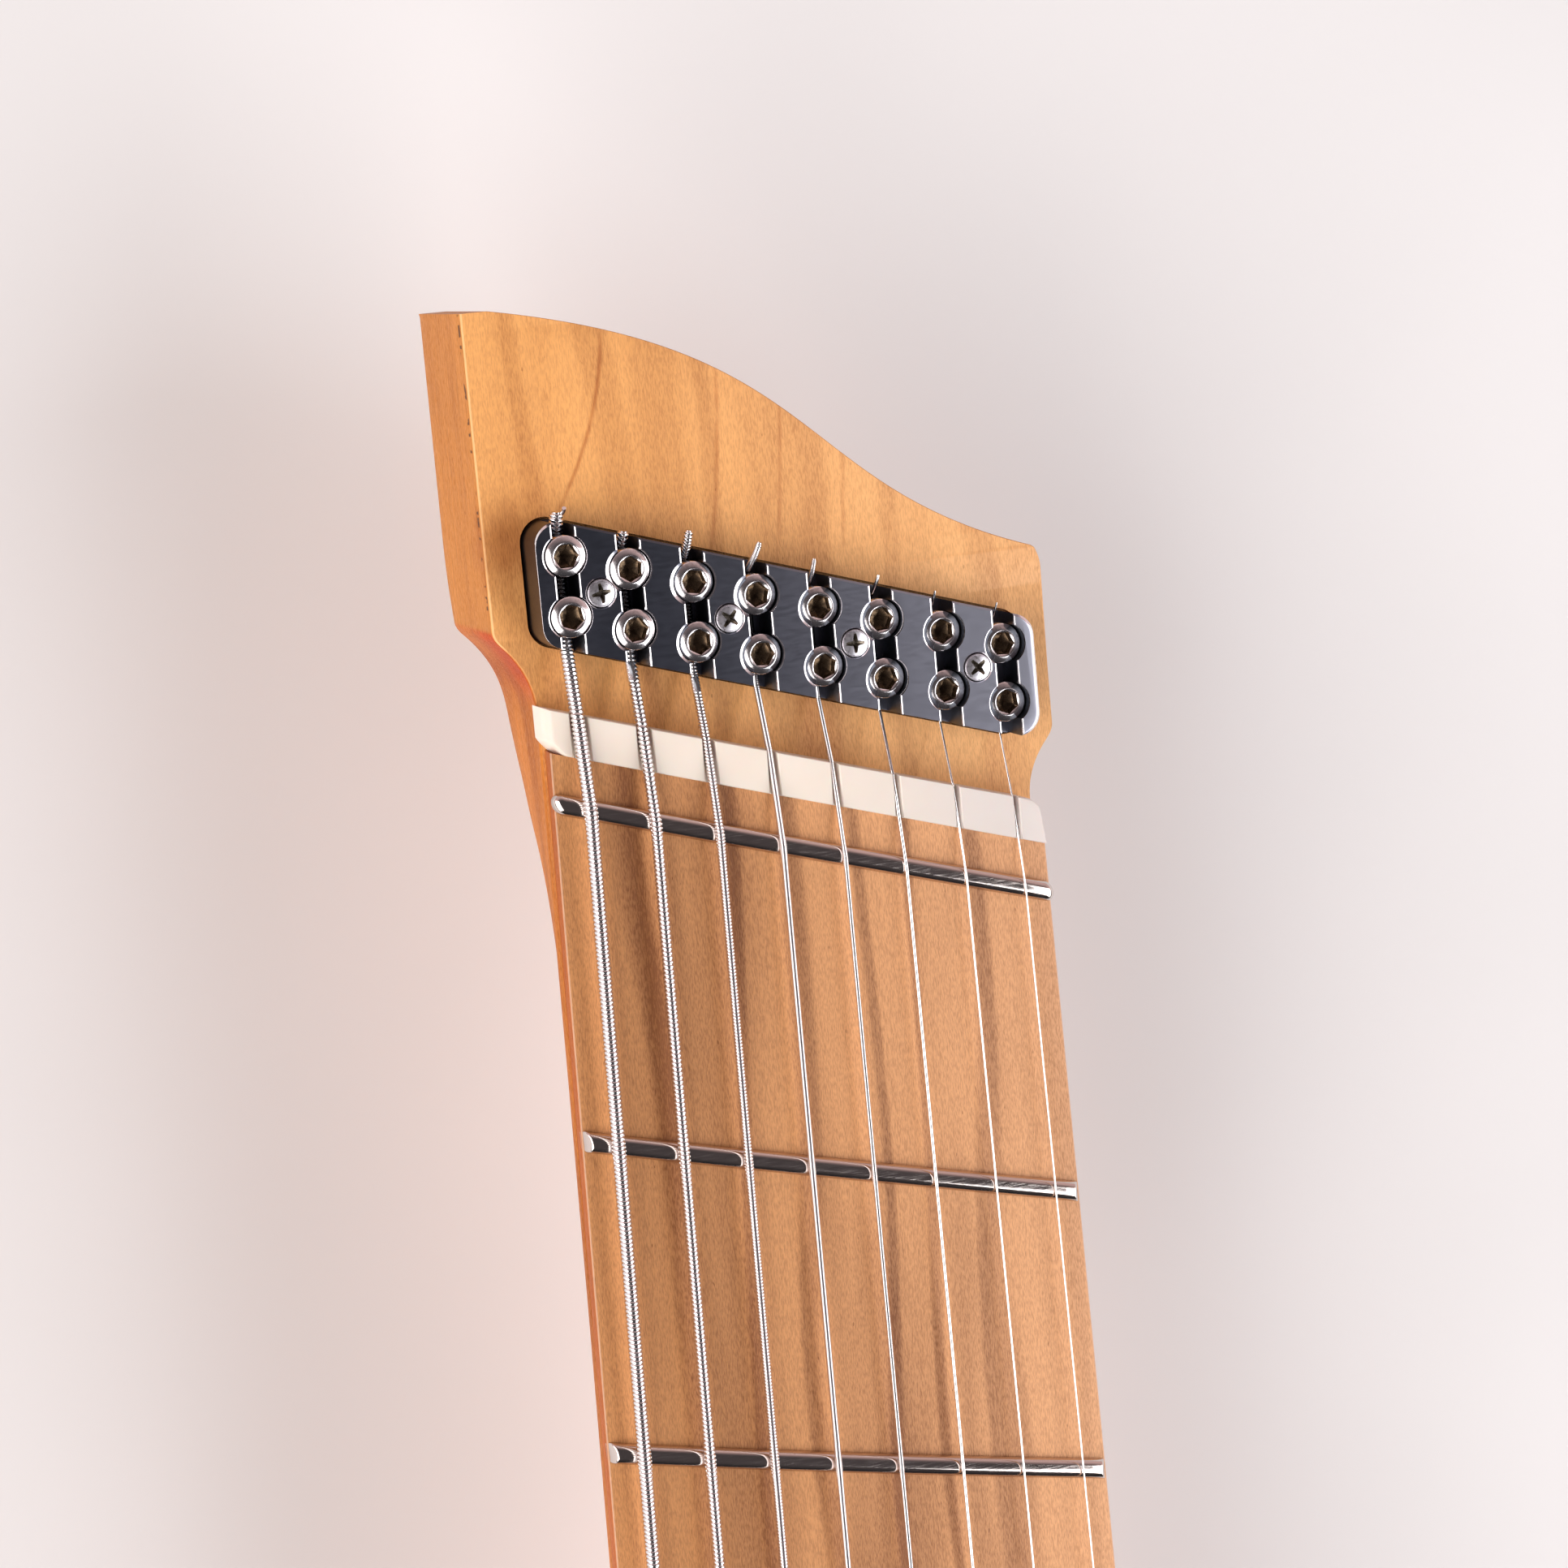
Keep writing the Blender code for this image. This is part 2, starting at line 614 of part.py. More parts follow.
def lock_y(string):
    return LOCK_OFFSET + spread_y(string, LOCK_SPREAD)


def lock_string_z(string):
    """Height of a string's middle in its slot of the lock block."""
    return LOCK_FLOOR_Z + FIT + STRING_DIAMETERS[string] / 2


def lock_screw_places():
    """Row name, string and world point on the block's top for each clamp screw."""
    for row_name, side in (("head_side", -0.5), ("nut_side", 0.5)):
        for string in range(STRINGS):
            y = lock_y(string)
            row = side * LOCK_ROW_SPACING / LOCK_LENGTH
            yield row_name, string, at(lock_station(y, row), y, LOCK_TOP_Z)


def hold_screw_places():
    """The mounting screws stand between every second pair of slots, on the block's middle line."""
    for string in range(0, STRINGS - 1, 2):
        y = (lock_y(string) + lock_y(string + 1)) / 2
        yield at(lock_station(y, 0.0), y, LOCK_TOP_Z)


def build_headpiece():
    """The string lock: a slanted block with a slot for each string, tapped for two clamp screws a string."""
    outline = lock_outline(0.0)
    small = lock_outline(-LOCK_CHAMFER)
    rings = [[(x, y, z) for x, y in ring] for ring, z in
             ((outline, LOCK_BOTTOM_Z), (outline, LOCK_TOP_Z - LOCK_CHAMFER), (small, LOCK_TOP_Z))]
    block = piece("headpiece", loft(rings), ((0.03, 0.035, 0.045), 0.35, 0.9))
    reach = LOCK_LENGTH
    slots = []
    for string in range(STRINGS):
        y = lock_y(string)
        x = at(lock_station(y, 0.0), y, 0)[0]
        half = LOCK_SLOT_WIDTH / 2
        slots.append(prism(((x - reach, y - half), (x + reach, y - half), (x + reach, y + half),
                            (x - reach, y + half)), LOCK_FLOOR_Z, LOCK_TOP_Z + LOCK_HEIGHT))
    cut(block, "cut_slots", joined(slots))
    depth = LOCK_SLOT_DEPTH - LOCK_HOLE_ABOVE_FLOOR
    radius = LOCK_SCREW_HOLE / 2
    holes = [lathe(((0, -depth), (radius, -depth), (radius, CUT_PAST), (0, CUT_PAST)), place, (0, 0, 1), 16)
             for _, _, place in lock_screw_places()]
    cut(block, "cut_clamp_holes", joined(holes))
    head = HOLD_SCREW_DIAMETER / 2 + FIT
    shank = HOLD_SCREW_SHANK / 2 + FIT
    seat = HOLD_SCREW_HEAD + FIT
    below = -LOCK_HEIGHT - CUT_PAST
    sink = ((0, below), (shank, below), (shank, -seat - head + shank), (head, -seat), (head, CUT_PAST),
            (0, CUT_PAST))
    sinks = [lathe(sink, place, (0, 0, 1), 12) for place in hold_screw_places()]
    cut(block, "cut_mounting_holes", joined(sinks))


def build_lock_screws():
    """Two hex-socket clamp screws press each string down in its slot. They end just above the string.

    All 16 are alike, so on a thinner string they sit deeper in the block.
    """
    corner = LOCK_SCREW_KEY / 2 / cos(pi / 6)

    def hexagon(step, radius, angle):
        if step < 4:
            return radius
        return corner * cos(pi / 6) / cos((angle % (pi / 3)) - pi / 6)

    for row_name, string, place in lock_screw_places():
        tip = lock_string_z(string) + STRING_DIAMETERS[string] / 2 + FIT - LOCK_TOP_Z
        top = tip + LOCK_SCREW_LENGTH
        radius = LOCK_SCREW_DIAMETER / 2
        floor = top - LOCK_SCREW_KEY_DEPTH
        profile = ((0, tip), (radius, tip), (radius, top - LOCK_SCREW_CHAMFER),
                   (radius - LOCK_SCREW_CHAMFER, top), (corner, top), (corner, floor), (0, floor))
        shape = lathe(profile, place, (0, 0, 1), 12, hexagon)
        name = f"lock_screw_{row_name}_{STRINGS - string}"
        piece(name, shape, (STEEL, 0.15, 1.0), place, smooth=True)


def build_hold_screws():
    """Countersunk wood screws hold the lock block down in its pocket."""
    head = HOLD_SCREW_DIAMETER / 2
    shank = HOLD_SCREW_SHANK / 2
    profile = ((0, -HOLD_SCREW_LENGTH), (shank, -HOLD_SCREW_LENGTH), (shank, -HOLD_SCREW_HEAD - head + shank),
               (head, -HOLD_SCREW_HEAD), (head, 0.0), (0, 0.0))
    for number, place in enumerate(hold_screw_places(), 1):
        shape = lathe(profile, place, (0, 0, 1), 12)
        piece(f"headpiece_screw_{number}", shape, (STEEL, 0.2, 1.0), place, smooth=True)


def nut_station(y, share):
    """Station across the nut: share is 0 at its side to the board, 1 at its side to the head."""
    return fan_line(0)[1] * y - BOARD_AHEAD - share * NUT_LENGTH


def nut_string_z(string, share):
    """Height of a string's middle over the nut, which falls away to the head."""
    y = spread_y(string, SPREAD_ZERO)
    level = NUT_STRING_FRONT + (NUT_STRING_REAR - NUT_STRING_FRONT) * share
    return EDGE_Z + crown(y) + level + STRING_DIAMETERS[string] / 2


def build_nut():
    """The string guide behind the zero fret, with a slot for each string, falling towards the head."""
    rings = []
    for y in np.linspace(NUT_HALF_WIDTH, -NUT_HALF_WIDTH, 9):
        top = EDGE_Z + NUT_TOP_LEVEL + crown(y)
        edge = NUT_EDGE / NUT_LENGTH
        section = ((0.0, HEAD_FACE_Z + FIT), (0.0, top - NUT_EDGE), (edge, top), (1 - edge, top),
                   (1.0, top - NUT_EDGE), (1.0, HEAD_FACE_Z + FIT))
        rings.append([at(nut_station(y, share), y, z) for share, z in section])
    nut = piece("nut", loft(rings), (BONE, 0.4, 0.0))
    slots = []
    above = EDGE_Z + NUT_TOP_LEVEL + crown(0.0) + CUT_PAST
    for string in range(STRINGS):
        y = spread_y(string, SPREAD_ZERO)
        half = (STRING_DIAMETERS[string] + NUT_SLOT_EXTRA) / 2
        drop = STRING_DIAMETERS[string] / 2 + FIT
        side = []
        for share in (-0.5, 1.5):
            side.append((at(nut_station(y, share), y, 0)[0], nut_string_z(string, share) - drop))
        side.extend((x, above) for x, _ in reversed(side[:]))
        slots.append(loft([[(x, across, z) for x, z in side] for across in (y - half, y + half)]))
    cut(nut, "cut_string_slots", joined(slots))


def saddle_crest_z(string):
    return EDGE_Z + SADDLE_LEVEL + crown(spread_y(string, SPREAD_BRIDGE))


def carriage_bottom_z():
    return BRIDGE_FLOOR_Z + FIT


def carriage_slot_z():
    return carriage_bottom_z() + CARRIAGE_HEIGHT - CARRIAGE_SLOT_DEPTH


def unit_x(string, behind):
    """X of a point a distance behind a string's saddle."""
    return at(saddle_station(string) + behind, 0, 0)[0]


def string_route(string):
    """Points on a string's middle line: tail, lock, nut, zero fret, saddle and its end in the carriage."""
    radius = STRING_DIAMETERS[string] / 2
    clamp_y = lock_y(string)
    nut_y = spread_y(string, SPREAD_ZERO)
    clamp_z = lock_string_z(string)
    zero_z = EDGE_Z + FRET_HEIGHT + crown(nut_y) + FIT + radius
    saddle_y = spread_y(string, SPREAD_BRIDGE)
    saddle_z = saddle_crest_z(string) + FIT + radius
    rest_z = carriage_slot_z() + FIT + radius
    end = CARRIAGE_FRONT + CARRIAGE_SLOT_LENGTH - CARRIAGE_TRAVEL - 2 * FIT
    return (
        at(lock_station(clamp_y, -0.5) - LOCK_TAIL, clamp_y, clamp_z),
        at(lock_station(clamp_y, 0.5), clamp_y, clamp_z),
        at(nut_station(nut_y, 1.0), nut_y, nut_string_z(string, 1.0)),
        at(nut_station(nut_y, 0.0), nut_y, nut_string_z(string, 0.0)),
        at(zero_station(string), nut_y, zero_z),
        (unit_x(string, 0.0), saddle_y, saddle_z),
        (unit_x(string, CARRIAGE_FRONT), saddle_y, rest_z),
        (unit_x(string, end), saddle_y, rest_z),
    )


def build_strings():
    """Each string is one wire along its whole route."""
    for string in range(STRINGS):
        radius = STRING_DIAMETERS[string] / 2
        route = np.array(string_route(string))
        steps = np.diff(route, axis=0)
        steps /= np.linalg.norm(steps, axis=1)[:, None]
        tangents = np.concatenate([steps[:1], steps[:-1] + steps[1:], steps[-1:]])
        tangents /= np.linalg.norm(tangents, axis=1)[:, None]
        rings = []
        for point, tangent in zip(route, tangents):
            side = np.cross(tangent, (0.0, 0.0, 1.0))
            side /= np.linalg.norm(side)
            up = np.cross(side, tangent)
            turns = np.arange(STRING_SIDES) * 2 * pi / STRING_SIDES
            rings.append([tuple(point + radius * (cos(turn) * side + sin(turn) * up)) for turn in turns])
        piece(f"string_{STRINGS - string}", loft(rings), (STEEL, 0.25, 1.0), smooth=True)


def bridge_corner(y, behind):
    """Plan point on the slanted bridge, a distance behind the line of the saddles."""
    centre, slope = saddle_line()
    return at(centre + slope * y + behind, y, 0)[:2]


def bridge_half_width():
    return (SPREAD_BRIDGE + BRIDGE_PITCH + BRIDGE_WALL) / 2


def channel_width():
    return BRIDGE_PITCH - BRIDGE_WALL


def bridge_top_z():
    return max(saddle_crest_z(string) for string in range(STRINGS)) + WALL_ABOVE_SADDLE


def build_bridge():
    """The bridge base: a slanted block with a channel, a fixed saddle and a screw hole for each string."""
    half = bridge_half_width()
    rear = BRIDGE_LENGTH - BRIDGE_FRONT
    corners = [bridge_corner(half, -BRIDGE_FRONT), bridge_corner(half, rear),
               bridge_corner(-half, rear), bridge_corner(-half, -BRIDGE_FRONT)]
    top = bridge_top_z()
    outline = rounded(corners, BRIDGE_CORNER, 2)
    base = piece("bridge_base", prism(outline, BODY_THICKNESS + FIT, top), (BLACK, 0.4, 0.6))
    channels = []
    holes = []
    sky = top + CUT_PAST
    for string in range(STRINGS):
        y = spread_y(string, SPREAD_BRIDGE)
        width = channel_width()
        crest = saddle_crest_z(string)
        slope = abs(saddle_line()[1]) * width
        side = ((-BRIDGE_FRONT - slope, sky), (-BRIDGE_FRONT - slope, BRIDGE_FLOOR_Z),
                (-SADDLE_LENGTH, BRIDGE_FLOOR_Z), (-SADDLE_LENGTH, crest - SADDLE_DROP),
                (-SADDLE_CREST, crest - SADDLE_ROUND), (0.0, crest), (SADDLE_CREST, crest - SADDLE_ROUND),
                (SADDLE_LENGTH, crest - SADDLE_DROP), (SADDLE_LENGTH, BRIDGE_FLOOR_Z),
                (rear - BRIDGE_END_WALL, BRIDGE_FLOOR_Z), (rear - BRIDGE_END_WALL, sky))
        channels.append(loft([[(unit_x(string, behind), across, z) for behind, z in side]
                              for across in (y - width / 2, y + width / 2)]))
        radius = TUNER_SHAFT / 2 + FIT
        start = unit_x(string, rear - BRIDGE_END_WALL - CUT_PAST)
        length = BRIDGE_END_WALL + slope + 2 * CUT_PAST
        holes.append(lathe(((0, 0), (radius, 0), (radius, length), (0, length)), (start, y, TUNER_AXIS_Z),
                           (-1, 0, 0), 10))
    cut(base, "cut_channels", joined(channels))
    cut(base, "cut_tuner_holes", joined(holes))


def build_carriages():
    """A carriage in each channel holds the string's end and is drawn back by its tuner screw."""
    for string in range(STRINGS):
        y = spread_y(string, SPREAD_BRIDGE)
        half = channel_width() / 2 - FIT
        low = carriage_bottom_z()
        top = low + CARRIAGE_HEIGHT
        back = CARRIAGE_FRONT + CARRIAGE_LENGTH
        chamfer = CARRIAGE_CHAMFER
        side = ((CARRIAGE_FRONT, low), (CARRIAGE_FRONT, top - chamfer), (CARRIAGE_FRONT + chamfer, top),
                (back - chamfer, top), (back, top - chamfer), (back, low))
        shape = loft([[(unit_x(string, behind), across, z) for behind, z in side]
                      for across in (y - half, y + half)])
        name = f"tuner_carriage_{STRINGS - string}"
        origin = (unit_x(string, back), y, TUNER_AXIS_Z)
        carriage = piece(name, shape, (STEEL, 0.3, 1.0), origin)
        slot_half = CARRIAGE_SLOT_WIDTH / 2
        start = unit_x(string, CARRIAGE_FRONT - CUT_PAST)
        end = unit_x(string, CARRIAGE_FRONT + CARRIAGE_SLOT_LENGTH)
        slot = ((end, y - slot_half), (start, y - slot_half), (start, y + slot_half), (end, y + slot_half))
        cut(carriage, f"cut_string_slot_{string}", prism(slot, carriage_slot_z(), top + CUT_PAST))
        radius = TUNER_SHAFT / 2 + FIT
        depth = tuner_shaft_reach() + CARRIAGE_TRAVEL + 2 * FIT
        cut(carriage, f"cut_thread_{string}",
            lathe(((0, -CUT_PAST), (radius, -CUT_PAST), (radius, depth), (0, depth)), origin, (1, 0, 0), 10))


def tuner_shaft_reach():
    """How far a tuner screw reaches into its carriage at rest."""
    return CARRIAGE_TRAVEL + TUNER_SHAFT_SPARE


def build_tuner_knobs():
    """A knurled knob on a screw behind the bridge draws each carriage."""
    rear = BRIDGE_LENGTH - BRIDGE_FRONT
    lean = abs(saddle_line()[1])

    def knurl(step, radius, angle):
        notch = TUNER_GROOVE_DEPTH if step in (5, 6) and round(angle / (pi / TUNER_GROOVES)) % 2 else 0.0
        return radius - notch

    for string in range(STRINGS):
        y = spread_y(string, SPREAD_BRIDGE)
        tip = CARRIAGE_FRONT + CARRIAGE_LENGTH - tuner_shaft_reach()
        place = (unit_x(string, tip), y, TUNER_AXIS_Z)
        shaft = TUNER_SHAFT / 2
        collar = TUNER_COLLAR / 2
        collar_at = rear + lean * collar + FIT - tip
        radius = TUNER_KNOB_DIAMETER / 2
        knob_at = rear + lean * radius + 2 * FIT - tip
        edge = TUNER_KNOB_EDGE
        end = knob_at + TUNER_KNOB_LENGTH
        profile = ((0, 0), (shaft, 0), (shaft, collar_at), (collar, collar_at), (collar, knob_at),
                   (radius, knob_at + edge), (radius, end - edge), (radius - edge, end), (0, end))
        shape = lathe(profile, place, (-1, 0, 0), 2 * TUNER_GROOVES, knurl)
        piece(f"tuner_knob_{STRINGS - string}", shape, (BLACK, 0.35, 0.8), place)


def pickup_frames():
    """Name, centre station and slope of each pickup."""
    board_end, last_slope = neck_end_line()
    centre = board_end + NECK_PICKUP_BEHIND_BOARD + PICKUP_WIDTH / 2 * sqrt(1 + last_slope ** 2)
    saddle_centre, saddle_slope = saddle_line()
    slope = (saddle_slope + last_slope) / 2
    rear = saddle_centre - BRIDGE_FRONT - BRIDGE_PICKUP_AHEAD - PICKUP_WIDTH / 2 * sqrt(1 + slope ** 2)
    return ("neck_pickup", centre, last_slope), ("bridge_pickup", rear, slope)


def pickup_outline(centre, slope, grow):
    """A rounded rectangle turned to lie along a fan line."""
    length = PICKUP_LENGTH / 2 + grow
    width = PICKUP_WIDTH / 2 + grow
    scale = sqrt(1 + slope * slope)
    across = np.array((-slope / scale, 1 / scale))
    along = np.array((-1 / scale, -slope / scale))
    middle = np.array(at(centre, 0, 0)[:2])
    corners = [middle + a * length * across + b * width * along
               for a, b in ((1, -1), (1, 1), (-1, 1), (-1, -1))]
    return rounded(corners, PICKUP_CORNER + grow)


def build_pickups():
    """Two soapbar pickups, let into the top."""
    top = BODY_THICKNESS + PICKUP_ABOVE_BODY
    for name, centre, slope in pickup_frames():
        outline = pickup_outline(centre, slope, 0.0)
        small = pickup_outline(centre, slope, -PICKUP_EDGE)
        rings = [[(x, y, z) for x, y in ring] for ring, z in
                 ((outline, top - PICKUP_HEIGHT), (outline, top - PICKUP_EDGE), (small, top))]
        piece(name, loft(rings), (BLACK, 0.45, 0.0))


def on_body(place):
    """Where a place on the drawn outline lies on the body, measured from the tail and the centre line."""
    drawn_length, drawn_width = np.ptp(BODY_DRAWN, axis=0)
    drawn_tail = min(x for x, _ in BODY_DRAWN)
    x = BODY_TAIL_X + (place[0] - drawn_tail) * BODY_LENGTH / drawn_length
    return float(x), float(place[1] * BODY_WIDTH / drawn_width)


def in_cavity(offset):
    """A place an offset from the middle of the control cavity."""
    x, y = on_body(CAVITY_MIDDLE)
    return x + offset[0], y + offset[1]


def cavity_outline(grow):
    half_length = CAVITY_LENGTH / 2 + grow
    half_width = CAVITY_WIDTH / 2 + grow
    corners = [in_cavity((a * half_length, b * half_width)) for a, b in ((-1, -1), (1, -1), (1, 1), (-1, 1))]
    return rounded(corners, CAVITY_CORNER + grow)


def jack_place():
    """Where the jack's flange seats, behind the tail end of the cavity."""
    x, y = in_cavity((-CAVITY_LENGTH / 2 - JACK_SEAT_BEHIND_CAVITY, JACK_FROM_MIDDLE))
    return x, y, JACK_HEIGHT


def cover_roof_z():
    return COVER_RECESS + COVER_THICKNESS + FIT


def neck_pocket_outline():
    """Plan of the neck pocket in the body, which follows the neck's taper and its slanted end."""
    end, slope = neck_end_line()
    end += FIT
    start = end - HEEL_LENGTH - HEEL_BLEND
    corners = []
    for side in (1, -1):
        bass, treble = board_edges(end, slope)
        y = bass if side > 0 else treble
        corners.append(at(end + slope * y, y + side * FIT, 0)[:2])
        corners.append(at(start, side * (board_half(start) + FIT), 0)[:2])
    return (corners[0], corners[2], corners[3], corners[1])


def scoop_outline():
    """Plan of the finger scoop under the tuner knobs, open at the tail."""
    half = SPREAD_BRIDGE / 2 + TUNER_KNOB_DIAMETER / 2 + SCOOP_MARGIN
    front = BRIDGE_LENGTH - BRIDGE_FRONT - SCOOP_UNDER_BRIDGE
    tail = BODY_TAIL_X - SCOOP_PAST_TAIL
    return (bridge_corner(half, front), (tail, half), (tail, -half), bridge_corner(-half, front))


def button_flats():
    """Seat point and outward direction of each strap button."""
    return (("strap_button_horn", (*on_body(BUTTON_HORN), BUTTON_HEIGHT), (1, 0, 0)),
            ("strap_button_tail", (*on_body(BUTTON_TAIL), BUTTON_HEIGHT), (-1, 0, 0)))


def build_body():
    """The solid body with its rounded edges, neck pocket, pickup and control cavities, scoop and bores."""
    outline = smooth_outline([on_body(place) for place in BODY_DRAWN], OUTLINE_STEPS)
    back = BODY_BACK_ROUND * ROUND_MIDDLE
    front = BODY_TOP_ROUND * ROUND_MIDDLE
    levels = ((0.0, BODY_BACK_ROUND), (back, back), (BODY_BACK_ROUND, 0.0),
              (BODY_THICKNESS - BODY_TOP_ROUND, 0.0), (BODY_THICKNESS - front, front),
              (BODY_THICKNESS, BODY_TOP_ROUND))
    rings = [[(x, y, z) for x, y in inset(outline, distance)] for z, distance in levels]
    body = piece("body", loft(rings), (BODY_WOOD, 0.4, 0.0), smooth=True)
    above = EDGE_Z + CUT_PAST
    pocket_floor = HEAD_FACE_Z - HEEL_DEPTH - FIT
    cut(body, "cut_neck_pocket", prism(neck_pocket_outline(), pocket_floor, above))
    pickup_floor = BODY_THICKNESS + PICKUP_ABOVE_BODY - PICKUP_HEIGHT - FIT
    routs = [prism(pickup_outline(centre, slope, PICKUP_GAP), pickup_floor, above)
             for _, centre, slope in pickup_frames()]
    cut(body, "cut_pickup_routs", joined(routs))
    cut(body, "cut_scoop", prism(scoop_outline(), BODY_THICKNESS - SCOOP_DEPTH, above))
    inner = cavity_outline(0.0)
    cavity = [[(x, y, z) for x, y in ring] for ring, z in
              ((cavity_outline(COVER_LIP), -CUT_PAST), (cavity_outline(COVER_LIP), cover_roof_z()),
               (inner, cover_roof_z()), (inner, CAVITY_ROOF_Z))]
    cut(body, "cut_control_cavity", loft(cavity))
    bores = []
    shaft_hole = POT_BUSHING / 2 + FIT
    below = CAVITY_ROOF_Z - CUT_PAST
    for offset in (VOLUME_FROM_MIDDLE, TONE_FROM_MIDDLE):
        bores.append(lathe(((0, below), (shaft_hole, below), (shaft_hole, above), (0, above)),
                           (*in_cavity(offset), 0), (0, 0, 1), 12))
    x, y = in_cavity(SELECTOR_FROM_MIDDLE)
    reach = lever_slot_half()
    half = LEVER_THICKNESS / 2 + 2 * FIT
    bores.append(prism(((x - reach, y - half), (x + reach, y - half), (x + reach, y + half),
                        (x - reach, y + half)), below, above))
    cut(body, "cut_shaft_holes", joined(bores))
    flange = JACK_FLANGE / 2 + FIT
    sleeve = JACK_SLEEVE / 2 + FIT
    outside = jack_place()[0] - BODY_TAIL_X + CUT_PAST
    inside = -JACK_SEAT_BEHIND_CAVITY - CUT_PAST
    bore = ((0, outside), (flange, outside), (flange, 0), (sleeve, 0), (sleeve, inside), (0, inside))
    cut(body, "cut_jack_bore", lathe(bore, jack_place(), (-1, 0, 0), 20))
    seat = BUTTON_SEAT / 2
    hole = BUTTON_SCREW / 2 + FIT
    depth = -BUTTON_SCREW_LENGTH - FIT
    reach = BUTTON_SEAT_REACH
    sink = ((0, reach), (seat, reach), (seat, 0), (hole, 0), (hole, depth), (0, depth))
    seats = [lathe(sink, place, along, 12) for _, place, along in button_flats()]
    cut(body, "cut_button_seats", joined(seats))


def lever_slot_half():
    """Half length of the slot in the top that the selector's lever swings in."""
    reach = LEVER_PIVOT_BELOW_TOP * np.tan(LEVER_SWING) + LEVER_WIDTH / 2 / cos(LEVER_SWING)
    return float(ceil(reach / LEVER_SLOT_STEP) * LEVER_SLOT_STEP + LEVER_SLOT_SPARE)


def build_knobs():
    """Volume and tone knobs, each with the shaft that turns in its control."""
    low = BODY_THICKNESS + KNOB_ABOVE_BODY
    top = low + KNOB_HEIGHT
    shaft = KNOB_SHAFT / 2
    shaft_end = CAVITY_ROOF_Z - KNOB_SHAFT_BELOW_ROOF
    radius = KNOB_DIAMETER / 2
    upper = radius - KNOB_TAPER
    profile = ((0, shaft_end), (shaft, shaft_end), (shaft, low), (radius, low), (upper, top - KNOB_EDGE),
               (upper - KNOB_EDGE, top), (0, top))
    for name, offset in (("volume_knob", VOLUME_FROM_MIDDLE), ("tone_knob", TONE_FROM_MIDDLE)):
        x, y = in_cavity(offset)
        piece(name, lathe(profile, (x, y, 0), (0, 0, 1), 24), (BLACK, 0.3, 0.5), (x, y, low), smooth=True)


def build_selector():
    """The pickup selector's lever: a blade on a pivot under the top, with its tip."""
    x, y = in_cavity(SELECTOR_FROM_MIDDLE)
    half = LEVER_WIDTH / 2
    top = BODY_THICKNESS + LEVER_ABOVE_TOP
    arc = [(x - half * cos(turn), LEVER_PIVOT_Z - half * sin(turn)) for turn in np.linspace(0, pi, 7)]
    end = half * LEVER_TAPER
    side = [*arc, (x + end, top + LEVER_INTO_TIP), (x - end, top + LEVER_INTO_TIP)]
    blade = loft([[(px, y + across, pz) for px, pz in side]
                  for across in (-LEVER_THICKNESS / 2, LEVER_THICKNESS / 2)])
    pivot = (x, y, LEVER_PIVOT_Z)
    lever = piece("selector_lever", blade, (BLACK, 0.4, 0.0), pivot)
    radius = LEVER_TIP_DIAMETER / 2
    tip_top = top + LEVER_TIP_HEIGHT
    tip = lathe(((0, top), (LEVER_TIP_FOOT / 2, top), (radius, tip_top - LEVER_TIP_BELT),
                 (LEVER_TIP_TOP / 2, tip_top - LEVER_TIP_EDGE), (0, tip_top)), (x, y, 0), (0, 0, 1), 14)
    cut(lever, "add_lever_tip", tip, "UNION")


def build_electronics():
    """One circuit board in the cavity carries the two controls and the selector switch."""
    board_top = CAVITY_ROOF_Z - FIT - POT_HEIGHT
    board = prism(cavity_outline(-CIRCUIT_MARGIN), board_top - CIRCUIT_THICKNESS, board_top)
    unit = piece("control_circuit", board, ((0.03, 0.16, 0.07), 0.5, 0.0))
    roof = CAVITY_ROOF_Z - FIT
    case = POT_DIAMETER / 2
    bushing = POT_BUSHING / 2
    bore = KNOB_SHAFT / 2 + FIT
    floor = CAVITY_ROOF_Z - KNOB_SHAFT_BELOW_ROOF - 2 * FIT
    low = board_top - CIRCUIT_THICKNESS / 2
    profile = ((0, low), (case, low), (case, roof), (bushing, roof), (bushing, BODY_THICKNESS),
               (bore, BODY_THICKNESS), (bore, floor), (0, floor))
    controls = [lathe(profile, (*in_cavity(offset), 0), (0, 0, 1), 16)
                for offset in (VOLUME_FROM_MIDDLE, TONE_FROM_MIDDLE)]
    x, y = in_cavity(SELECTOR_FROM_MIDDLE)
    box = [(x + a * SWITCH_LENGTH / 2, y + b * SWITCH_WIDTH / 2)
           for a, b in ((-1, -1), (1, -1), (1, 1), (-1, 1))]
    controls.append(prism(box, low, roof))
    cut(unit, "add_controls", joined(controls), "UNION")
    half = LEVER_THICKNESS / 2 + FIT
    reach = lever_slot_half()
    floor = LEVER_PIVOT_Z - LEVER_WIDTH / 2 - FIT
    cut(unit, "cut_lever_slot", prism(((x - reach, y - half), (x + reach, y - half), (x + reach, y + half),
                                       (x - reach, y + half)), floor, roof + CUT_PAST))


def build_cover():
    """The cover plate of the control cavity, let into the back."""
    shape = prism(cavity_outline(COVER_LIP - FIT), COVER_RECESS, COVER_RECESS + COVER_THICKNESS)
    piece("control_cover", shape, (BLACK, 0.5, 0.0))


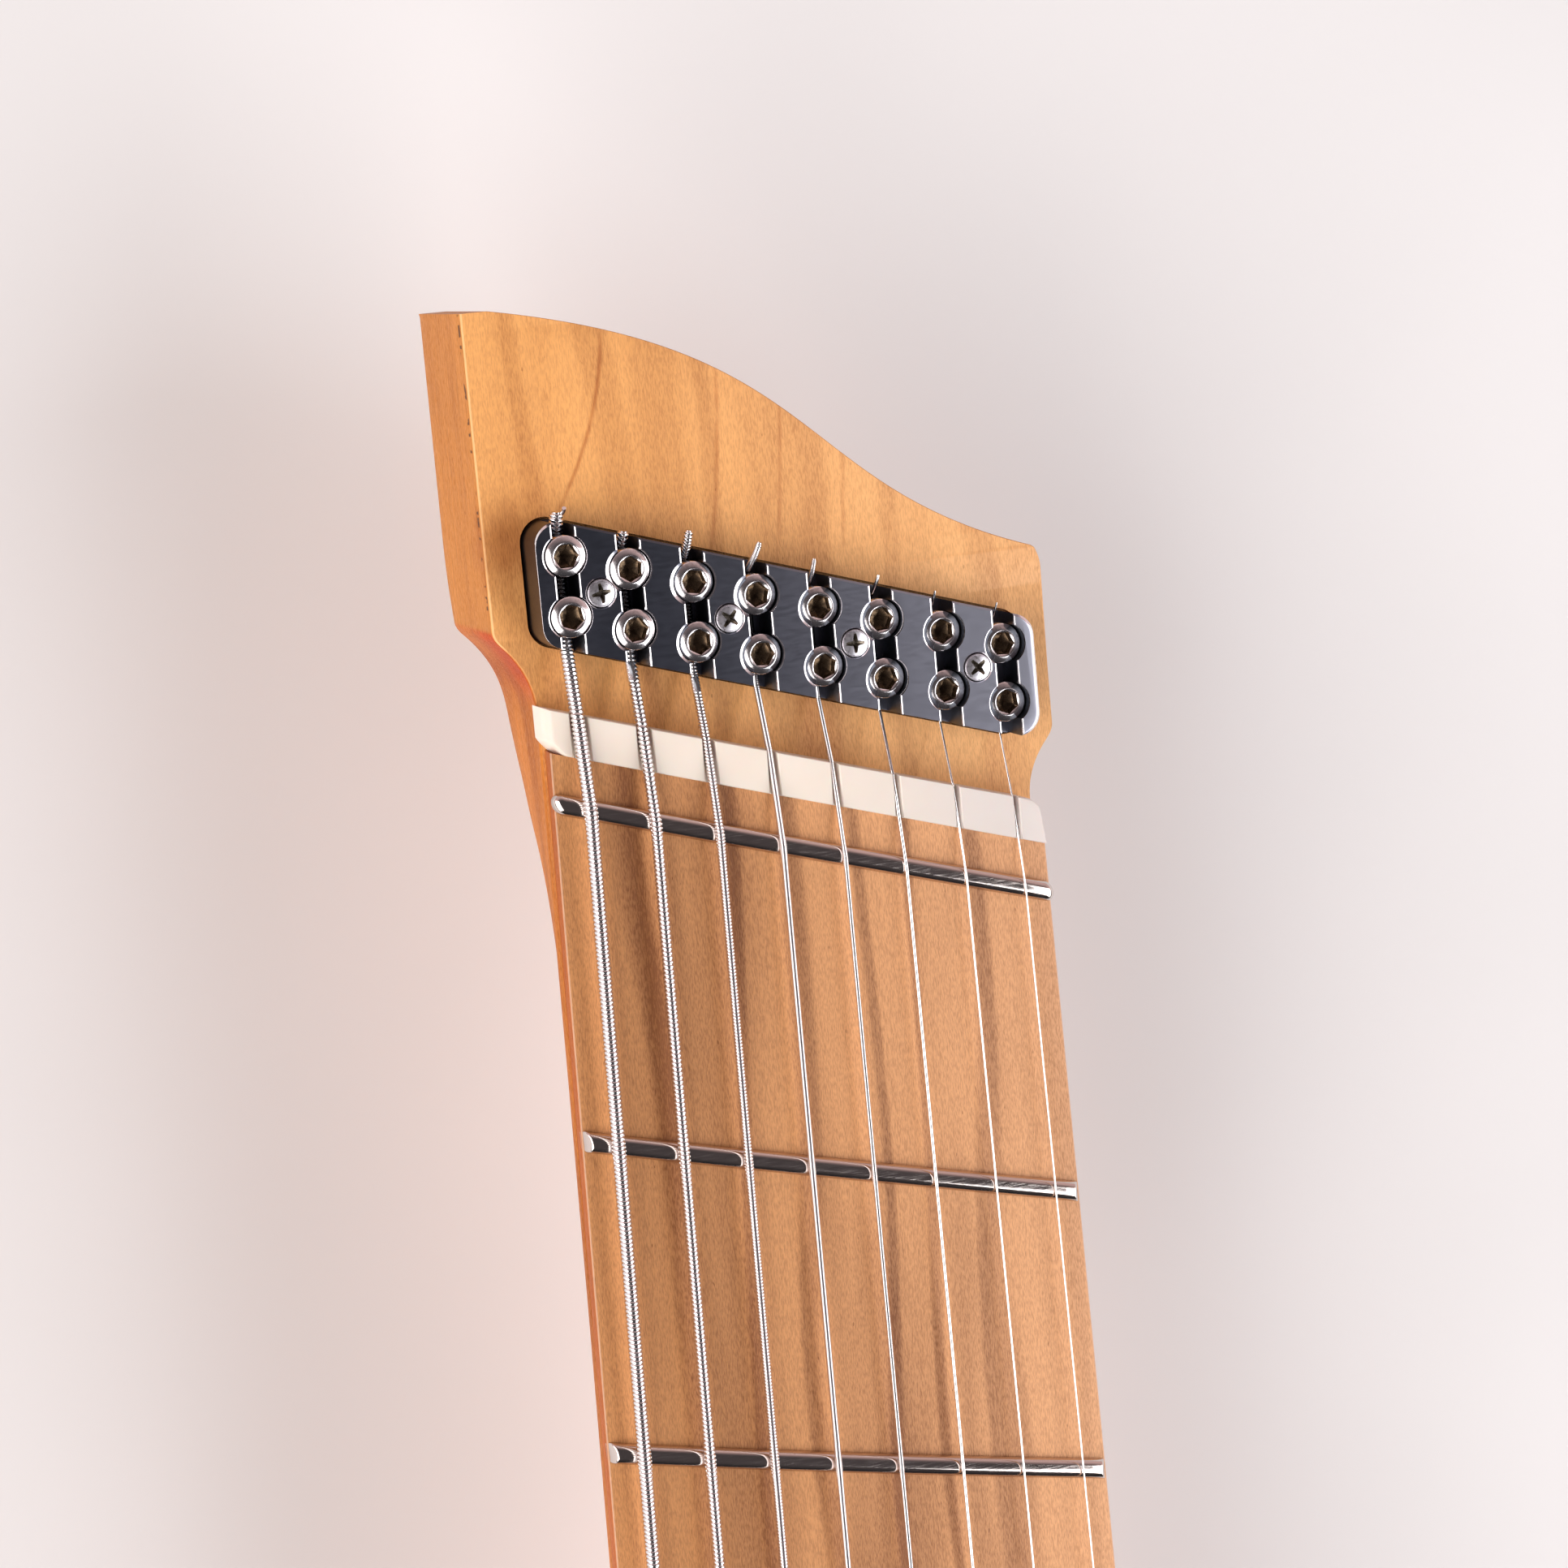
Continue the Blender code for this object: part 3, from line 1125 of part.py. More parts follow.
def build_jack():
    """The output jack in the treble side of the tail, with the bore that takes the plug."""
    flange = JACK_FLANGE / 2
    sleeve = JACK_SLEEVE / 2
    bore = JACK_BORE / 2
    outer = FIT + JACK_FLANGE_THICKNESS
    deep = outer - JACK_LENGTH
    end = deep - JACK_END_WALL
    profile = ((0, end), (sleeve, end), (sleeve, FIT), (flange, FIT), (flange, outer - JACK_EDGE),
               (flange - JACK_EDGE, outer), (bore, outer), (bore, deep), (0, deep))
    shape = lathe(profile, jack_place(), (-1, 0, 0), 20)
    piece("output_jack", shape, (STEEL, 0.2, 1.0), jack_place(), smooth=True)


def build_strap_buttons():
    """Strap buttons on the horn and the tail, each held by its screw."""
    screw = BUTTON_SCREW / 2
    waist = BUTTON_WAIST / 2
    radius = BUTTON_DIAMETER / 2
    end = FIT + BUTTON_LENGTH
    head = end - BUTTON_HEAD_THICKNESS
    profile = ((0, -BUTTON_SCREW_LENGTH), (screw, -BUTTON_SCREW_LENGTH), (screw, FIT), (BUTTON_FOOT / 2, FIT),
               (waist, FIT + BUTTON_FOOT_HEIGHT), (waist, head - BUTTON_HEAD_FLARE), (radius, head),
               (radius, end - BUTTON_EDGE), (radius - BUTTON_EDGE, end), (0, end))
    for name, place, along in button_flats():
        piece(name, lathe(profile, place, along, 16), (STEEL, 0.2, 1.0), place, smooth=True)


for old in list(bpy.data.objects):
    bpy.data.objects.remove(old, do_unlink=True)

build_body()
build_neck()
build_fretboard()
build_nut()
build_headpiece()
build_lock_screws()
build_hold_screws()
build_bridge()
build_carriages()
build_tuner_knobs()
build_strings()
build_pickups()
build_knobs()
build_selector()
build_electronics()
build_cover()
build_jack()
build_strap_buttons()
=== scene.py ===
"""The looks of an eight-string headless guitar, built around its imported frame.

The guitar lies on its back. +X runs from the body to the head, +Y to the bass side and +Z out of the top.
Lengths are in metres. A station is a distance along the middle line from the zero fret towards the bridge,
so the head has negative stations. Strings are counted from 0, the thickest, to 7, the thinnest.
"""

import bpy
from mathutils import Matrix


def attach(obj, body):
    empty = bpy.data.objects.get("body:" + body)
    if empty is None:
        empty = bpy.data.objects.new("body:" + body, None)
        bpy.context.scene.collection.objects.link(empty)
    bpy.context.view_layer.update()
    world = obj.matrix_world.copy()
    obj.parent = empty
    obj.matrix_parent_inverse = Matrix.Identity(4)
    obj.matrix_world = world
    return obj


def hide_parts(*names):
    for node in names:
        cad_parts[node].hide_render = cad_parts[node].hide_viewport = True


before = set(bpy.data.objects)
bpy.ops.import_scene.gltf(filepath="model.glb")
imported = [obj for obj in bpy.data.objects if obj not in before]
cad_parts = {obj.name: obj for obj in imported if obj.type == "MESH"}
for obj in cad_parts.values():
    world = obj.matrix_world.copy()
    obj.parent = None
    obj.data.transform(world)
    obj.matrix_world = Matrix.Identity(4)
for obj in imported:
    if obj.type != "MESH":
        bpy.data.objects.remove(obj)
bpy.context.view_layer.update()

from math import atan2, cos, pi, radians, sin, tan

import bmesh
import bpy
import numpy as np
from mathutils import Matrix, Vector

# The camera stands beyond the head on the bass side and looks down on the lock block and the first frets,
# with a long lens. Its three directions come from the places of the frets and the screws in the picture.
CAMERA_PLACE = (0.63464, 0.14493, 0.48025)
CAMERA_RIGHT = (-0.08957, -0.94093, 0.32654)
CAMERA_UP = (0.98522, -0.13178, -0.10948)
CAMERA_BACK = (0.14604, 0.31191, 0.93882)
CAMERA_LENS = 92.51

camera = bpy.data.objects.new("camera", bpy.data.cameras.new("camera"))
camera.data.lens = CAMERA_LENS
camera.data.sensor_width = 36.0
camera.data.clip_start = 0.01
turned = Matrix((CAMERA_RIGHT, CAMERA_UP, CAMERA_BACK)).transposed().to_4x4()
camera.matrix_world = Matrix.Translation(CAMERA_PLACE) @ turned
bpy.context.scene.collection.objects.link(camera)
bpy.context.scene.camera = camera
bpy.context.scene.view_settings.view_transform = "Standard"

# Studio: a pale floor under the guitar, a dim room with a pale wall beyond the head, and a soft box on either
# side, the stronger one on the bass side.
FLOOR_HEIGHT = -0.0004
FLOOR_HALF = 3.0
ROOM_DARK = (0.030, 0.029, 0.031, 1.0)
ROOM_CEILING = (0.080, 0.071, 0.075, 1.0)
ROOM_WALL = (0.78, 0.56, 0.54, 1.0)
LAMPS = (
    # name, direction from the head, distance, width, height, power, colour
    ("bass_side_box", (-0.24, 0.80, 0.52), 1.30, 2.00, 1.15, 25.4, (1.0, 0.98, 0.97)),
    ("treble_side_box", (-0.28, -0.75, 0.56), 1.35, 1.50, 1.15, 21.4, (0.95, 0.97, 1.0)),
)
LAMP_AIM = (0.545, 0.0, 0.045)


def shader_node(tree, kind, inputs=None, **settings):
    """A shader node of a kind. inputs maps its sockets to values or to the outputs of other nodes."""
    made = tree.nodes.new("ShaderNode" + kind)
    for name, value in settings.items():
        setattr(made, name, value)
    for socket, value in (inputs or {}).items():
        if isinstance(value, bpy.types.NodeSocket):
            tree.links.new(value, made.inputs[socket])
        else:
            made.inputs[socket].default_value = value
    return made


def finish(name, roughness, metallic=0.0, **sockets):
    """A material with a Principled shader, its plain values set on the shader's own sockets."""
    made = bpy.data.materials.new(name)
    made.use_nodes = True
    shader = made.node_tree.nodes["Principled BSDF"]
    shader.inputs["Roughness"].default_value = roughness
    shader.inputs["Metallic"].default_value = metallic
    for socket, value in sockets.items():
        shader.inputs[socket.replace("_", " ")].default_value = value
    return made, made.node_tree, shader


def noise(tree, place, stretch, detail=2.0, rough=0.5):
    """Noise from Object coordinates, with stretch features per metre along each axis."""
    scaled = shader_node(tree, "Mapping", {"Vector": place, "Scale": stretch}).outputs["Vector"]
    made = shader_node(tree, "TexNoise", {"Vector": scaled, "Scale": 1.0, "Detail": detail, "Roughness": rough})
    return made.outputs["Fac"]


def between(tree, value, low, high, first=0.0, last=1.0):
    """value between low and high, carried to between first and last with a smooth step."""
    made = shader_node(tree, "MapRange", {"Value": value, "From Min": low, "From Max": high, "To Min": first,
                                          "To Max": last}, interpolation_type="SMOOTHSTEP")
    return made.outputs["Result"]


def mixed(tree, share, first, second, blend="MIX"):
    """Two colours mixed by a share."""
    made = shader_node(tree, "Mix", {0: share, 6: first, 7: second}, data_type="RGBA", blend_type=blend)
    return made.outputs[2]


def count(tree, operation, first, second=0.5):
    """One Math node."""
    return shader_node(tree, "Math", {0: first, 1: second}, operation=operation).outputs["Value"]


def bump(tree, shader, height, depth):
    """Height, from 0 to 1, as a bump of a depth in metres."""
    made = shader_node(tree, "Bump", {"Height": height, "Distance": depth, "Strength": 1.0})
    tree.links.new(made.outputs["Normal"], shader.inputs["Normal"])


floor_mesh = bpy.data.meshes.new("floor")
floor_corners = [(x, y, FLOOR_HEIGHT) for x, y in ((-1, -1), (1, -1), (1, 1), (-1, 1))]
floor_mesh.from_pydata([(x * FLOOR_HALF, y * FLOOR_HALF, z) for x, y, z in floor_corners], [], [(0, 1, 2, 3)])
floor = bpy.data.objects.new("floor", floor_mesh)
bpy.context.scene.collection.objects.link(floor)
floor_finish, floor_tree, floor_shader = finish("pale_floor", 0.75)
floor_place = shader_node(floor_tree, "TexCoord").outputs["Object"]
floor_colour = mixed(floor_tree, between(floor_tree, noise(floor_tree, floor_place, (9, 9, 9)), 0.3, 0.7),
                     (0.78, 0.76, 0.75, 1), (0.82, 0.80, 0.79, 1))
floor_tree.links.new(floor_colour, floor_shader.inputs["Base Color"])
floor_mesh.materials.append(floor_finish)

room = bpy.data.worlds.new("room")
bpy.context.scene.world = room
room.use_nodes = True
room_tree = room.node_tree
room_way = shader_node(room_tree, "TexCoord").outputs["Generated"]
room_along = shader_node(room_tree, "SeparateXYZ", {0: room_way}).outputs["X"]
room_height = shader_node(room_tree, "SeparateXYZ", {0: room_way}).outputs["Z"]
room_colour = mixed(room_tree, between(room_tree, room_along, -0.30, 0.05), ROOM_DARK, ROOM_WALL)
room_colour = mixed(room_tree, between(room_tree, room_height, 0.25, 0.85), room_colour, ROOM_CEILING)
room_tree.links.new(room_colour, room_tree.nodes["Background"].inputs["Color"])

for lamp_name, lamp_way, lamp_far, lamp_width, lamp_height, lamp_power, lamp_colour in LAMPS:
    lamp = bpy.data.objects.new(lamp_name, bpy.data.lights.new(lamp_name, "AREA"))
    lamp.data.shape = "RECTANGLE"
    lamp.data.size = lamp_width
    lamp.data.size_y = lamp_height
    lamp.data.energy = lamp_power
    lamp.data.color = lamp_colour
    lamp.location = Vector(LAMP_AIM) + Vector(lamp_way).normalized() * lamp_far
    lamp.rotation_euler = Vector(lamp_way).to_track_quat("Z", "Y").to_euler()
    bpy.context.scene.collection.objects.link(lamp)

# The neck and the bare head are one length of roasted maple: the back is rounded, the head is a flat slab
# with one long curved end, square walls and barely eased edges, and a shallow pocket takes the lock block.
STRINGS = 8
SCALE_BASS = 0.686
SCALE_TREBLE = 0.648
ZERO_FRET_X = 0.560
ZERO_SKEW = 0.0161
SPREAD_ZERO = 0.0514
SPREAD_BRIDGE = 0.0735
BOARD_WIDTH = 0.0586
BOARD_TAPER = 0.0335
BOARD_LEAN = 0.0006
BOARD_BEHIND = 0.0080
LAST_FRET = 24
EDGE_Z = 0.0500
FACE_Z = 0.0458
HEAD_LENGTH = 0.0640
HEAD_BASS_EDGE = 0.0332
HEAD_TREBLE_EDGE = 0.0334
HEAD_THICKNESS = 0.0193
HEAD_EASED = 0.00035
HEAD_BACK_EASED = 0.0012
HEAD_CORNER = 0.0024
BASS_SHOULDER = (-0.0276, -0.0175)
TREBLE_SHOULDER = (-0.0090, -0.0012)
SHOULDER_SPARE = 0.0006
HEAD_END = ((-0.0640, 0.0299), (-0.0565, -0.0098), (-0.0402, -0.0038), (-0.0306, -0.0334))
NECK_DEPTH = (0.0160, 0.0180)
NECK_ROUND = (-0.0382, 0.0724)
HEEL_DEPTH = 0.0187
HEEL_LENGTH = 0.0780
HEEL_BLEND = 0.0340
LOCK_STATION = -0.0251
LOCK_LENGTH = 0.0145
LOCK_OFFSET = -0.0003
LOCK_BASS_EDGE = 0.0287
LOCK_TREBLE_EDGE = 0.0297
LOCK_CORNER = 0.0026
LOCK_TOP_Z = 0.0512
LOCK_HEIGHT = 0.0068
POCKET_GAP = 0.00028
MAPLE_LIGHT = (0.86, 0.445, 0.170, 1.0)
MAPLE_DARK = (0.42, 0.165, 0.052, 1.0)
NECK_LINES = (((0.6190, 0.0175), (0.6124, 0.0190), (0.6083, 0.0200), (0.6051, 0.0223), (0.6025, 0.0232)),
              ((0.6144, 0.0043), (0.6048, 0.0051), (0.5962, 0.0064)),
              ((0.6145, -0.0032), (0.6050, -0.0025), (0.5974, -0.0017)),
              ((0.6040, -0.0100), (0.5990, -0.0096), (0.5950, -0.0093)))


def string_share(string):
    return np.asarray(string) / (STRINGS - 1)


def zero_station(string):
    return ZERO_SKEW * (string_share(string) - 0.5)


def saddle_station(string):
    return zero_station(string) + SCALE_BASS + (SCALE_TREBLE - SCALE_BASS) * string_share(string)


def spread_y(string, spread):
    return spread * (0.5 - string_share(string))


def fan_line(number):
    """Middle station and slope of a fret: on each outer string it stands at scale times 1 - 2^(-number/12)."""
    stations, sides = [], []
    for string in (0, STRINGS - 1):
        share = 1 - 2 ** (-number / 12)
        stations.append(zero_station(string) + (saddle_station(string) - zero_station(string)) * share)
        start, end = spread_y(string, SPREAD_ZERO), spread_y(string, SPREAD_BRIDGE)
        sides.append(start + (end - start) * share)
    slope = (stations[0] - stations[1]) / (sides[0] - sides[1])
    return float(stations[0] - slope * sides[0]), float(slope)


def smooth(value, low, high):
    """0 below low, 1 above high, 3t^2 - 2t^3 between."""
    t = np.clip((np.asarray(value, dtype=float) - low) / (high - low), 0, 1)
    return t * t * (3 - 2 * t)


def board_half(station):
    return (BOARD_WIDTH + BOARD_TAPER * np.asarray(station)) / 2


def spots(station, y, z):
    """World points from stations, offsets across the neck and heights, spread to one shape."""
    station, y, z = np.broadcast_arrays(station, y, z)
    return np.stack([ZERO_FRET_X - station, y, z], axis=-1)


def closed_shell(name, rings, sharp=35.0):
    """A closed skin over an array of rings (rings, points, 3), capped at both ends, smooth below an angle."""
    levels, around = rings.shape[:2]
    index = np.arange(levels * around).reshape(levels, around)
    nxt = np.roll(index, -1, axis=1)
    quads = np.stack([index[:-1], nxt[:-1], nxt[1:], index[1:]], axis=-1).reshape(-1, 4).tolist()
    mesh = bpy.data.meshes.new(name)
    mesh.from_pydata(rings.reshape(-1, 3).tolist(), [], quads + [index[0].tolist(), index[-1].tolist()])
    return skin(name, mesh, sharp)


def skin(name, mesh, sharp=35.0):
    """The mesh as an object, with merged poles, faces turned outwards and edges sharper than an angle kept."""
    work = bmesh.new()
    work.from_mesh(mesh)
    bmesh.ops.remove_doubles(work, verts=work.verts, dist=2e-7)
    bmesh.ops.recalc_face_normals(work, faces=work.faces)
    work.to_mesh(mesh)
    work.free()
    mesh.shade_smooth()
    mesh.set_sharp_from_angle(angle=radians(sharp))
    made = bpy.data.objects.new(name, mesh)
    bpy.context.scene.collection.objects.link(made)
    return made


def carve(piece, *cutters, sharp=35.0):
    """Cuts the cutters out of the piece for good and removes them."""
    for cutter in cutters:
        made = piece.modifiers.new(cutter.name, "BOOLEAN")
        made.operation = "DIFFERENCE"
        made.solver = "EXACT"
        made.object = cutter
    shape = bpy.data.meshes.new_from_object(piece.evaluated_get(bpy.context.evaluated_depsgraph_get()))
    piece.modifiers.clear()
    piece.data = shape
    for cutter in cutters:
        bpy.data.objects.remove(cutter, do_unlink=True)
    shape.shade_smooth()
    shape.set_sharp_from_angle(angle=radians(sharp))
    return piece


def fit(piece, material, nodes, body="guitar"):
    """Gives a piece its finish, lets it move with its body, and puts it in the place of its CAD nodes."""
    piece.data.materials.clear()
    piece.data.materials.append(material)
    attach(piece, body)
    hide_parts(*nodes)
    return piece


def repaint(piece, material, inside):
    """Gives the faces whose centres are inside a region a second finish."""
    piece.data.materials.append(material)
    centres = np.empty(len(piece.data.polygons) * 3)
    piece.data.polygons.foreach_get("center", centres)
    index = np.empty(len(piece.data.polygons), dtype=np.int32)
    piece.data.polygons.foreach_get("material_index", index)
    index[inside(centres.reshape(-1, 3))] = len(piece.data.materials) - 1
    piece.data.polygons.foreach_set("material_index", index)


def turned_corners(corners, radius, steps=10):
    """The outline through corners with each corner turned to an arc of the radius."""
    points = []
    for index in range(len(corners)):
        corner = np.array(corners[index], dtype=float)
        before = np.array(corners[index - 1], dtype=float) - corner
        after = np.array(corners[(index + 1) % len(corners)], dtype=float) - corner
        before /= np.linalg.norm(before)
        after /= np.linalg.norm(after)
        half = np.arccos(np.clip(before @ after, -1, 1)) / 2
        centre = corner + (before + after) / np.linalg.norm(before + after) * radius / sin(half)
        start = corner + before * radius / np.tan(half) - centre
        end = corner + after * radius / np.tan(half) - centre
        turn = np.linspace(0, atan2(start[0] * end[1] - start[1] * end[0], start @ end), steps + 1)[:, None]
        points.append(centre + start * np.cos(turn) + np.array((-start[1], start[0])) * np.sin(turn))
    return np.concatenate(points)


def upright(name, outlines, heights, sharp=35.0):
    """A solid through one plan outline, or one for each height."""
    if np.ndim(outlines) == 2:
        outlines = [outlines] * len(heights)
    rings = [np.column_stack([outline, np.full(len(outline), z)]) for outline, z in zip(outlines, heights)]
    return closed_shell(name, np.array(rings), sharp)


def lock_station(y, row):
    """Station on the slanted lock block: row is -0.5 at its head side and 0.5 at its body side."""
    return LOCK_STATION + row * LOCK_LENGTH + fan_line(0)[1] * (y - LOCK_OFFSET)


def lock_outline(grow, treble_grow=None, head_grow=None):
    """Plan of the lock block, grown by a distance: long sides along the zero fret, ends along the neck."""
    treble = -LOCK_TREBLE_EDGE - (grow if treble_grow is None else treble_grow)
    head_row = -0.5 - (grow if head_grow is None else head_grow) / LOCK_LENGTH
    body_row = 0.5 + grow / LOCK_LENGTH
    corners = []
    for side, row in ((LOCK_BASS_EDGE + grow, head_row), (treble, head_row), (treble, body_row),
                      (LOCK_BASS_EDGE + grow, body_row)):
        corners.append((ZERO_FRET_X - lock_station(side, row), side))
    return turned_corners(corners, LOCK_CORNER + grow)


def shoulder(station, ends, power, corner=0.0009):
    """1 on the head and 0 on the neck: with t from one end to the other, (1 - t)^power with an eased corner."""
    t = (station - ends[0]) / (ends[1] - ends[0])
    eased = corner / (ends[1] - ends[0])
    t = np.where(t < eased, (np.clip(t + eased, 0, None) / 2) ** 2 / eased, t)
    return (1 - np.clip(t, 0, 1)) ** power


def neck_edges(station):
    """y of the bass and treble edges: the board's width on the neck, eased out to the head's width by the
    shoulders, and the long curved end of the head as a cubic curve through its four control points."""
    neck = board_half(station) - BOARD_LEAN * smooth(station, BASS_SHOULDER[1], NECK_ROUND[1])
    bass = neck + (HEAD_BASS_EDGE - neck) * shoulder(station, BASS_SHOULDER, 2.43, 0.0008)
    neck = neck + SHOULDER_SPARE * (1 - smooth(station, TREBLE_SHOULDER[1], NECK_ROUND[1]))
    treble = -neck - (HEAD_TREBLE_EDGE - neck) * shoulder(station, TREBLE_SHOULDER, 2.15)
    t = np.linspace(0, 1, 400)[:, None]
    p0, p1, p2, p3 = (np.array(point) for point in HEAD_END)
    curve = (1 - t) ** 3 * p0 + 3 * (1 - t) ** 2 * t * p1 + 3 * (1 - t) * t * t * p2 + t ** 3 * p3
    limit = np.interp(station, curve[:, 0], curve[:, 1])
    corner = HEAD_END[3][0] + HEAD_CORNER - station
    rounded = -HEAD_TREBLE_EDGE + HEAD_CORNER * (np.clip(corner, 0, None) / HEAD_CORNER / 2) ** 2
    limit = np.where((corner > 0) & (corner < 2 * HEAD_CORNER), np.maximum(limit, rounded), limit)
    return bass, np.where(corner > 0, limit, treble)


def neck_sections(station, skew, bass, treble):
    """Rings across the neck: a box with eased edges, blended by a smooth step into half an ellipse."""
    half = ((bass - treble) / 2)[:, None]
    middle = ((bass + treble) / 2)[:, None]
    eased = np.minimum(HEAD_EASED, 0.3 * half)
    corner = np.minimum(HEAD_BACK_EASED, 0.45 * half)
    heel = HEEL_START
    square = 1 - smooth(station, *NECK_ROUND) * (1 - smooth(station, heel - HEEL_BLEND, heel))
    first = fan_line(1)[0]
    along = np.clip((station - first) / (heel - first), 0, 1)
    depth = NECK_DEPTH[0] + (NECK_DEPTH[1] - NECK_DEPTH[0]) * along
    depth = depth + (HEAD_THICKNESS - depth) * (1 - smooth(station, NECK_ROUND[0], first))
    depth = depth + (HEEL_DEPTH - depth) * smooth(station, heel - HEEL_BLEND, heel)
    depth, square = depth[:, None], square[:, None]
    arc = np.linspace(0, pi / 2, 6)
    top_y = half - eased + eased * np.sin(arc)
    top_z = eased - eased * np.cos(arc)
    low_y = half - corner + corner * np.cos(arc)
    low_z = depth - corner + corner * np.sin(arc)
    wall = np.linspace(0, 1, 9)[1:-1]
    wall_y = half + 0 * wall
    wall_z = eased + (depth - corner - eased) * wall
    floor_y = (half - corner) * np.array((0.75, 0.5, 0.25))
    floor_z = depth + 0 * floor_y
    side_y = np.concatenate([top_y, wall_y, low_y, floor_y], axis=1)
    side_z = np.concatenate([top_z, wall_z, low_z, floor_z], axis=1)
    box_y = np.concatenate([side_y, 0 * half, -side_y[:, ::-1]], axis=1)
    box_z = np.concatenate([side_z, depth, side_z[:, ::-1]], axis=1)
    turn = np.linspace(0, pi, box_y.shape[1])
    y = box_y * square + half * np.cos(turn) * (1 - square)
    z = box_z * square + depth * np.sin(turn) * (1 - square)
    return spots(station[:, None] + skew[:, None] * (middle + y), middle + y, FACE_Z - z)


# Tints multiplied into the maple on its bass and treble sides: painted light, warmer on the bass side, paler and bluer
# on the treble side.
PAINTED_SIDE_LIGHT = ((1.06, 0.99, 0.84, 1.0), (1.13, 1.16, 1.22, 1.0))


def maple_finish(name, light, dark, streak_period, streak_bend, wall_shade, lines=0.20, bands=0.26, flecks=0.34,
                 edge_share=1.0, side_light_tints=((1, 1, 1, 1), (1, 1, 1, 1))):
    """Roasted maple: short dark flecks along the grain, wandering growth lines, soft cloudiness and rare dark specks.
    The sides are tinted as painted light from the two lamps, paler and bluer on the treble side and warmer on the bass
    side. The walls get a darker, warmer tone as painted shade, with streaks where the grain is cut on edge."""
    wood, tree, shader = finish(name, 0.46, Specular_IOR_Level=0.35)
    place = shader_node(tree, "TexCoord").outputs["Object"]
    growth = shader_node(tree, "Mapping", {"Vector": place, "Scale": (streak_bend, 0.314 / streak_period,
                                                                       0.314 / streak_period)}).outputs["Vector"]
    wave = shader_node(tree, "TexWave", {"Vector": growth, "Scale": 1.0, "Distortion": 7.0, "Detail": 2.0,
                                         "Detail Scale": 1.3}, bands_direction="Y").outputs["Fac"]
    line = between(tree, wave, 0.72, 1.0)
    broad = between(tree, noise(tree, place, (12, 115, 115), 3.0), 0.35, 0.70)
    fleck = between(tree, noise(tree, place, (1500, 8200, 8200), 1.5), 0.34, 0.72)
    ray = between(tree, noise(tree, place, (700, 3000, 3000), 2.0), 0.50, 0.72)
    speck = between(tree, noise(tree, place, (900, 2600, 2600), 0.0), 0.85, 0.89)
    sideways = shader_node(tree, "SeparateXYZ", {0: place}).outputs["Y"]
    share = count(tree, "ADD", count(tree, "MULTIPLY", line, lines), count(tree, "MULTIPLY", broad, bands))
    inside = between(tree, count(tree, "ABSOLUTE", sideways), 0.0190, 0.0275, 1.0, edge_share)
    share = count(tree, "MULTIPLY", share, inside)
    # Painted sheen: the wood is made a little paler towards the treble side and darker towards the bass side.
    share = count(tree, "ADD", share, between(tree, sideways, -0.034, 0.010, -0.02, 0.04))
    share = count(tree, "ADD", share, count(tree, "MULTIPLY", fleck, flecks))
    share = count(tree, "ADD", share, count(tree, "MULTIPLY", ray, 0.12))
    share = count(tree, "MINIMUM", count(tree, "ADD", share, count(tree, "MULTIPLY", speck, 0.5)), 1.0)
    colour = mixed(tree, share, light, dark)
    # Painted light: the side tints warm the bass side and make the treble side paler and bluer.
    side_light_tint = mixed(tree, between(tree, sideways, 0.030, -0.036, 0.0, 1.0), *side_light_tints)
    colour = mixed(tree, 1.0, colour, side_light_tint, "MULTIPLY")
    # Painted shade: surfaces that face sideways are multiplied by the walls' darker, warmer colour, together with
    # streaks of grain cut on edge.
    facing = shader_node(tree, "NewGeometry").outputs["Normal"]
    upward = shader_node(tree, "SeparateXYZ", {0: facing}).outputs["Z"]
    wall = between(tree, upward, 0.35, 0.85, 1.0, 0.0)
    streak = between(tree, noise(tree, place, (90, 1900, 1900), 3.0), 0.40, 0.66)
    streaks = mixed(tree, count(tree, "MULTIPLY", streak, 0.42), (1, 1, 1, 1), (0.62, 0.50, 0.40, 1))
    colour = mixed(tree, wall, colour, mixed(tree, 1.0, wall_shade, streaks, "MULTIPLY"), "MULTIPLY")
    tree.links.new(colour, shader.inputs["Base Color"])
    tree.links.new(between(tree, fleck, 0.0, 1.0, 0.40, 0.56), shader.inputs["Roughness"])
    tree.links.new(between(tree, wall, 0.0, 1.0, 0.35, 0.12), shader.inputs["Specular IOR Level"])
    bump(tree, shader, count(tree, "SUBTRACT", 1.0, fleck), 0.00001)
    return wood, tree, shader, colour


def curved_line(tree, xyz, points, width):
    """1 on a line of grain through (x, y) points, 0 from a width away: y is a polynomial in x through them."""
    points = np.array(points)
    middle = float(points[:, 0].mean())
    terms = np.polyfit(points[:, 0] - middle, points[:, 1], 2)
    along = count(tree, "SUBTRACT", xyz.outputs["X"], middle)
    y = float(terms[0])
    for term in terms[1:]:
        y = count(tree, "ADD", count(tree, "MULTIPLY", y, along), float(term))
    apart = count(tree, "ABSOLUTE", count(tree, "SUBTRACT", xyz.outputs["Y"], y))
    half = float(np.ptp(points[:, 0])) / 2
    fading = between(tree, count(tree, "ABSOLUTE", along), half, 1.6 * half, 1.0, 0.0)
    return count(tree, "MULTIPLY", between(tree, apart, 0.0, width, 1.0, 0.0), fading)


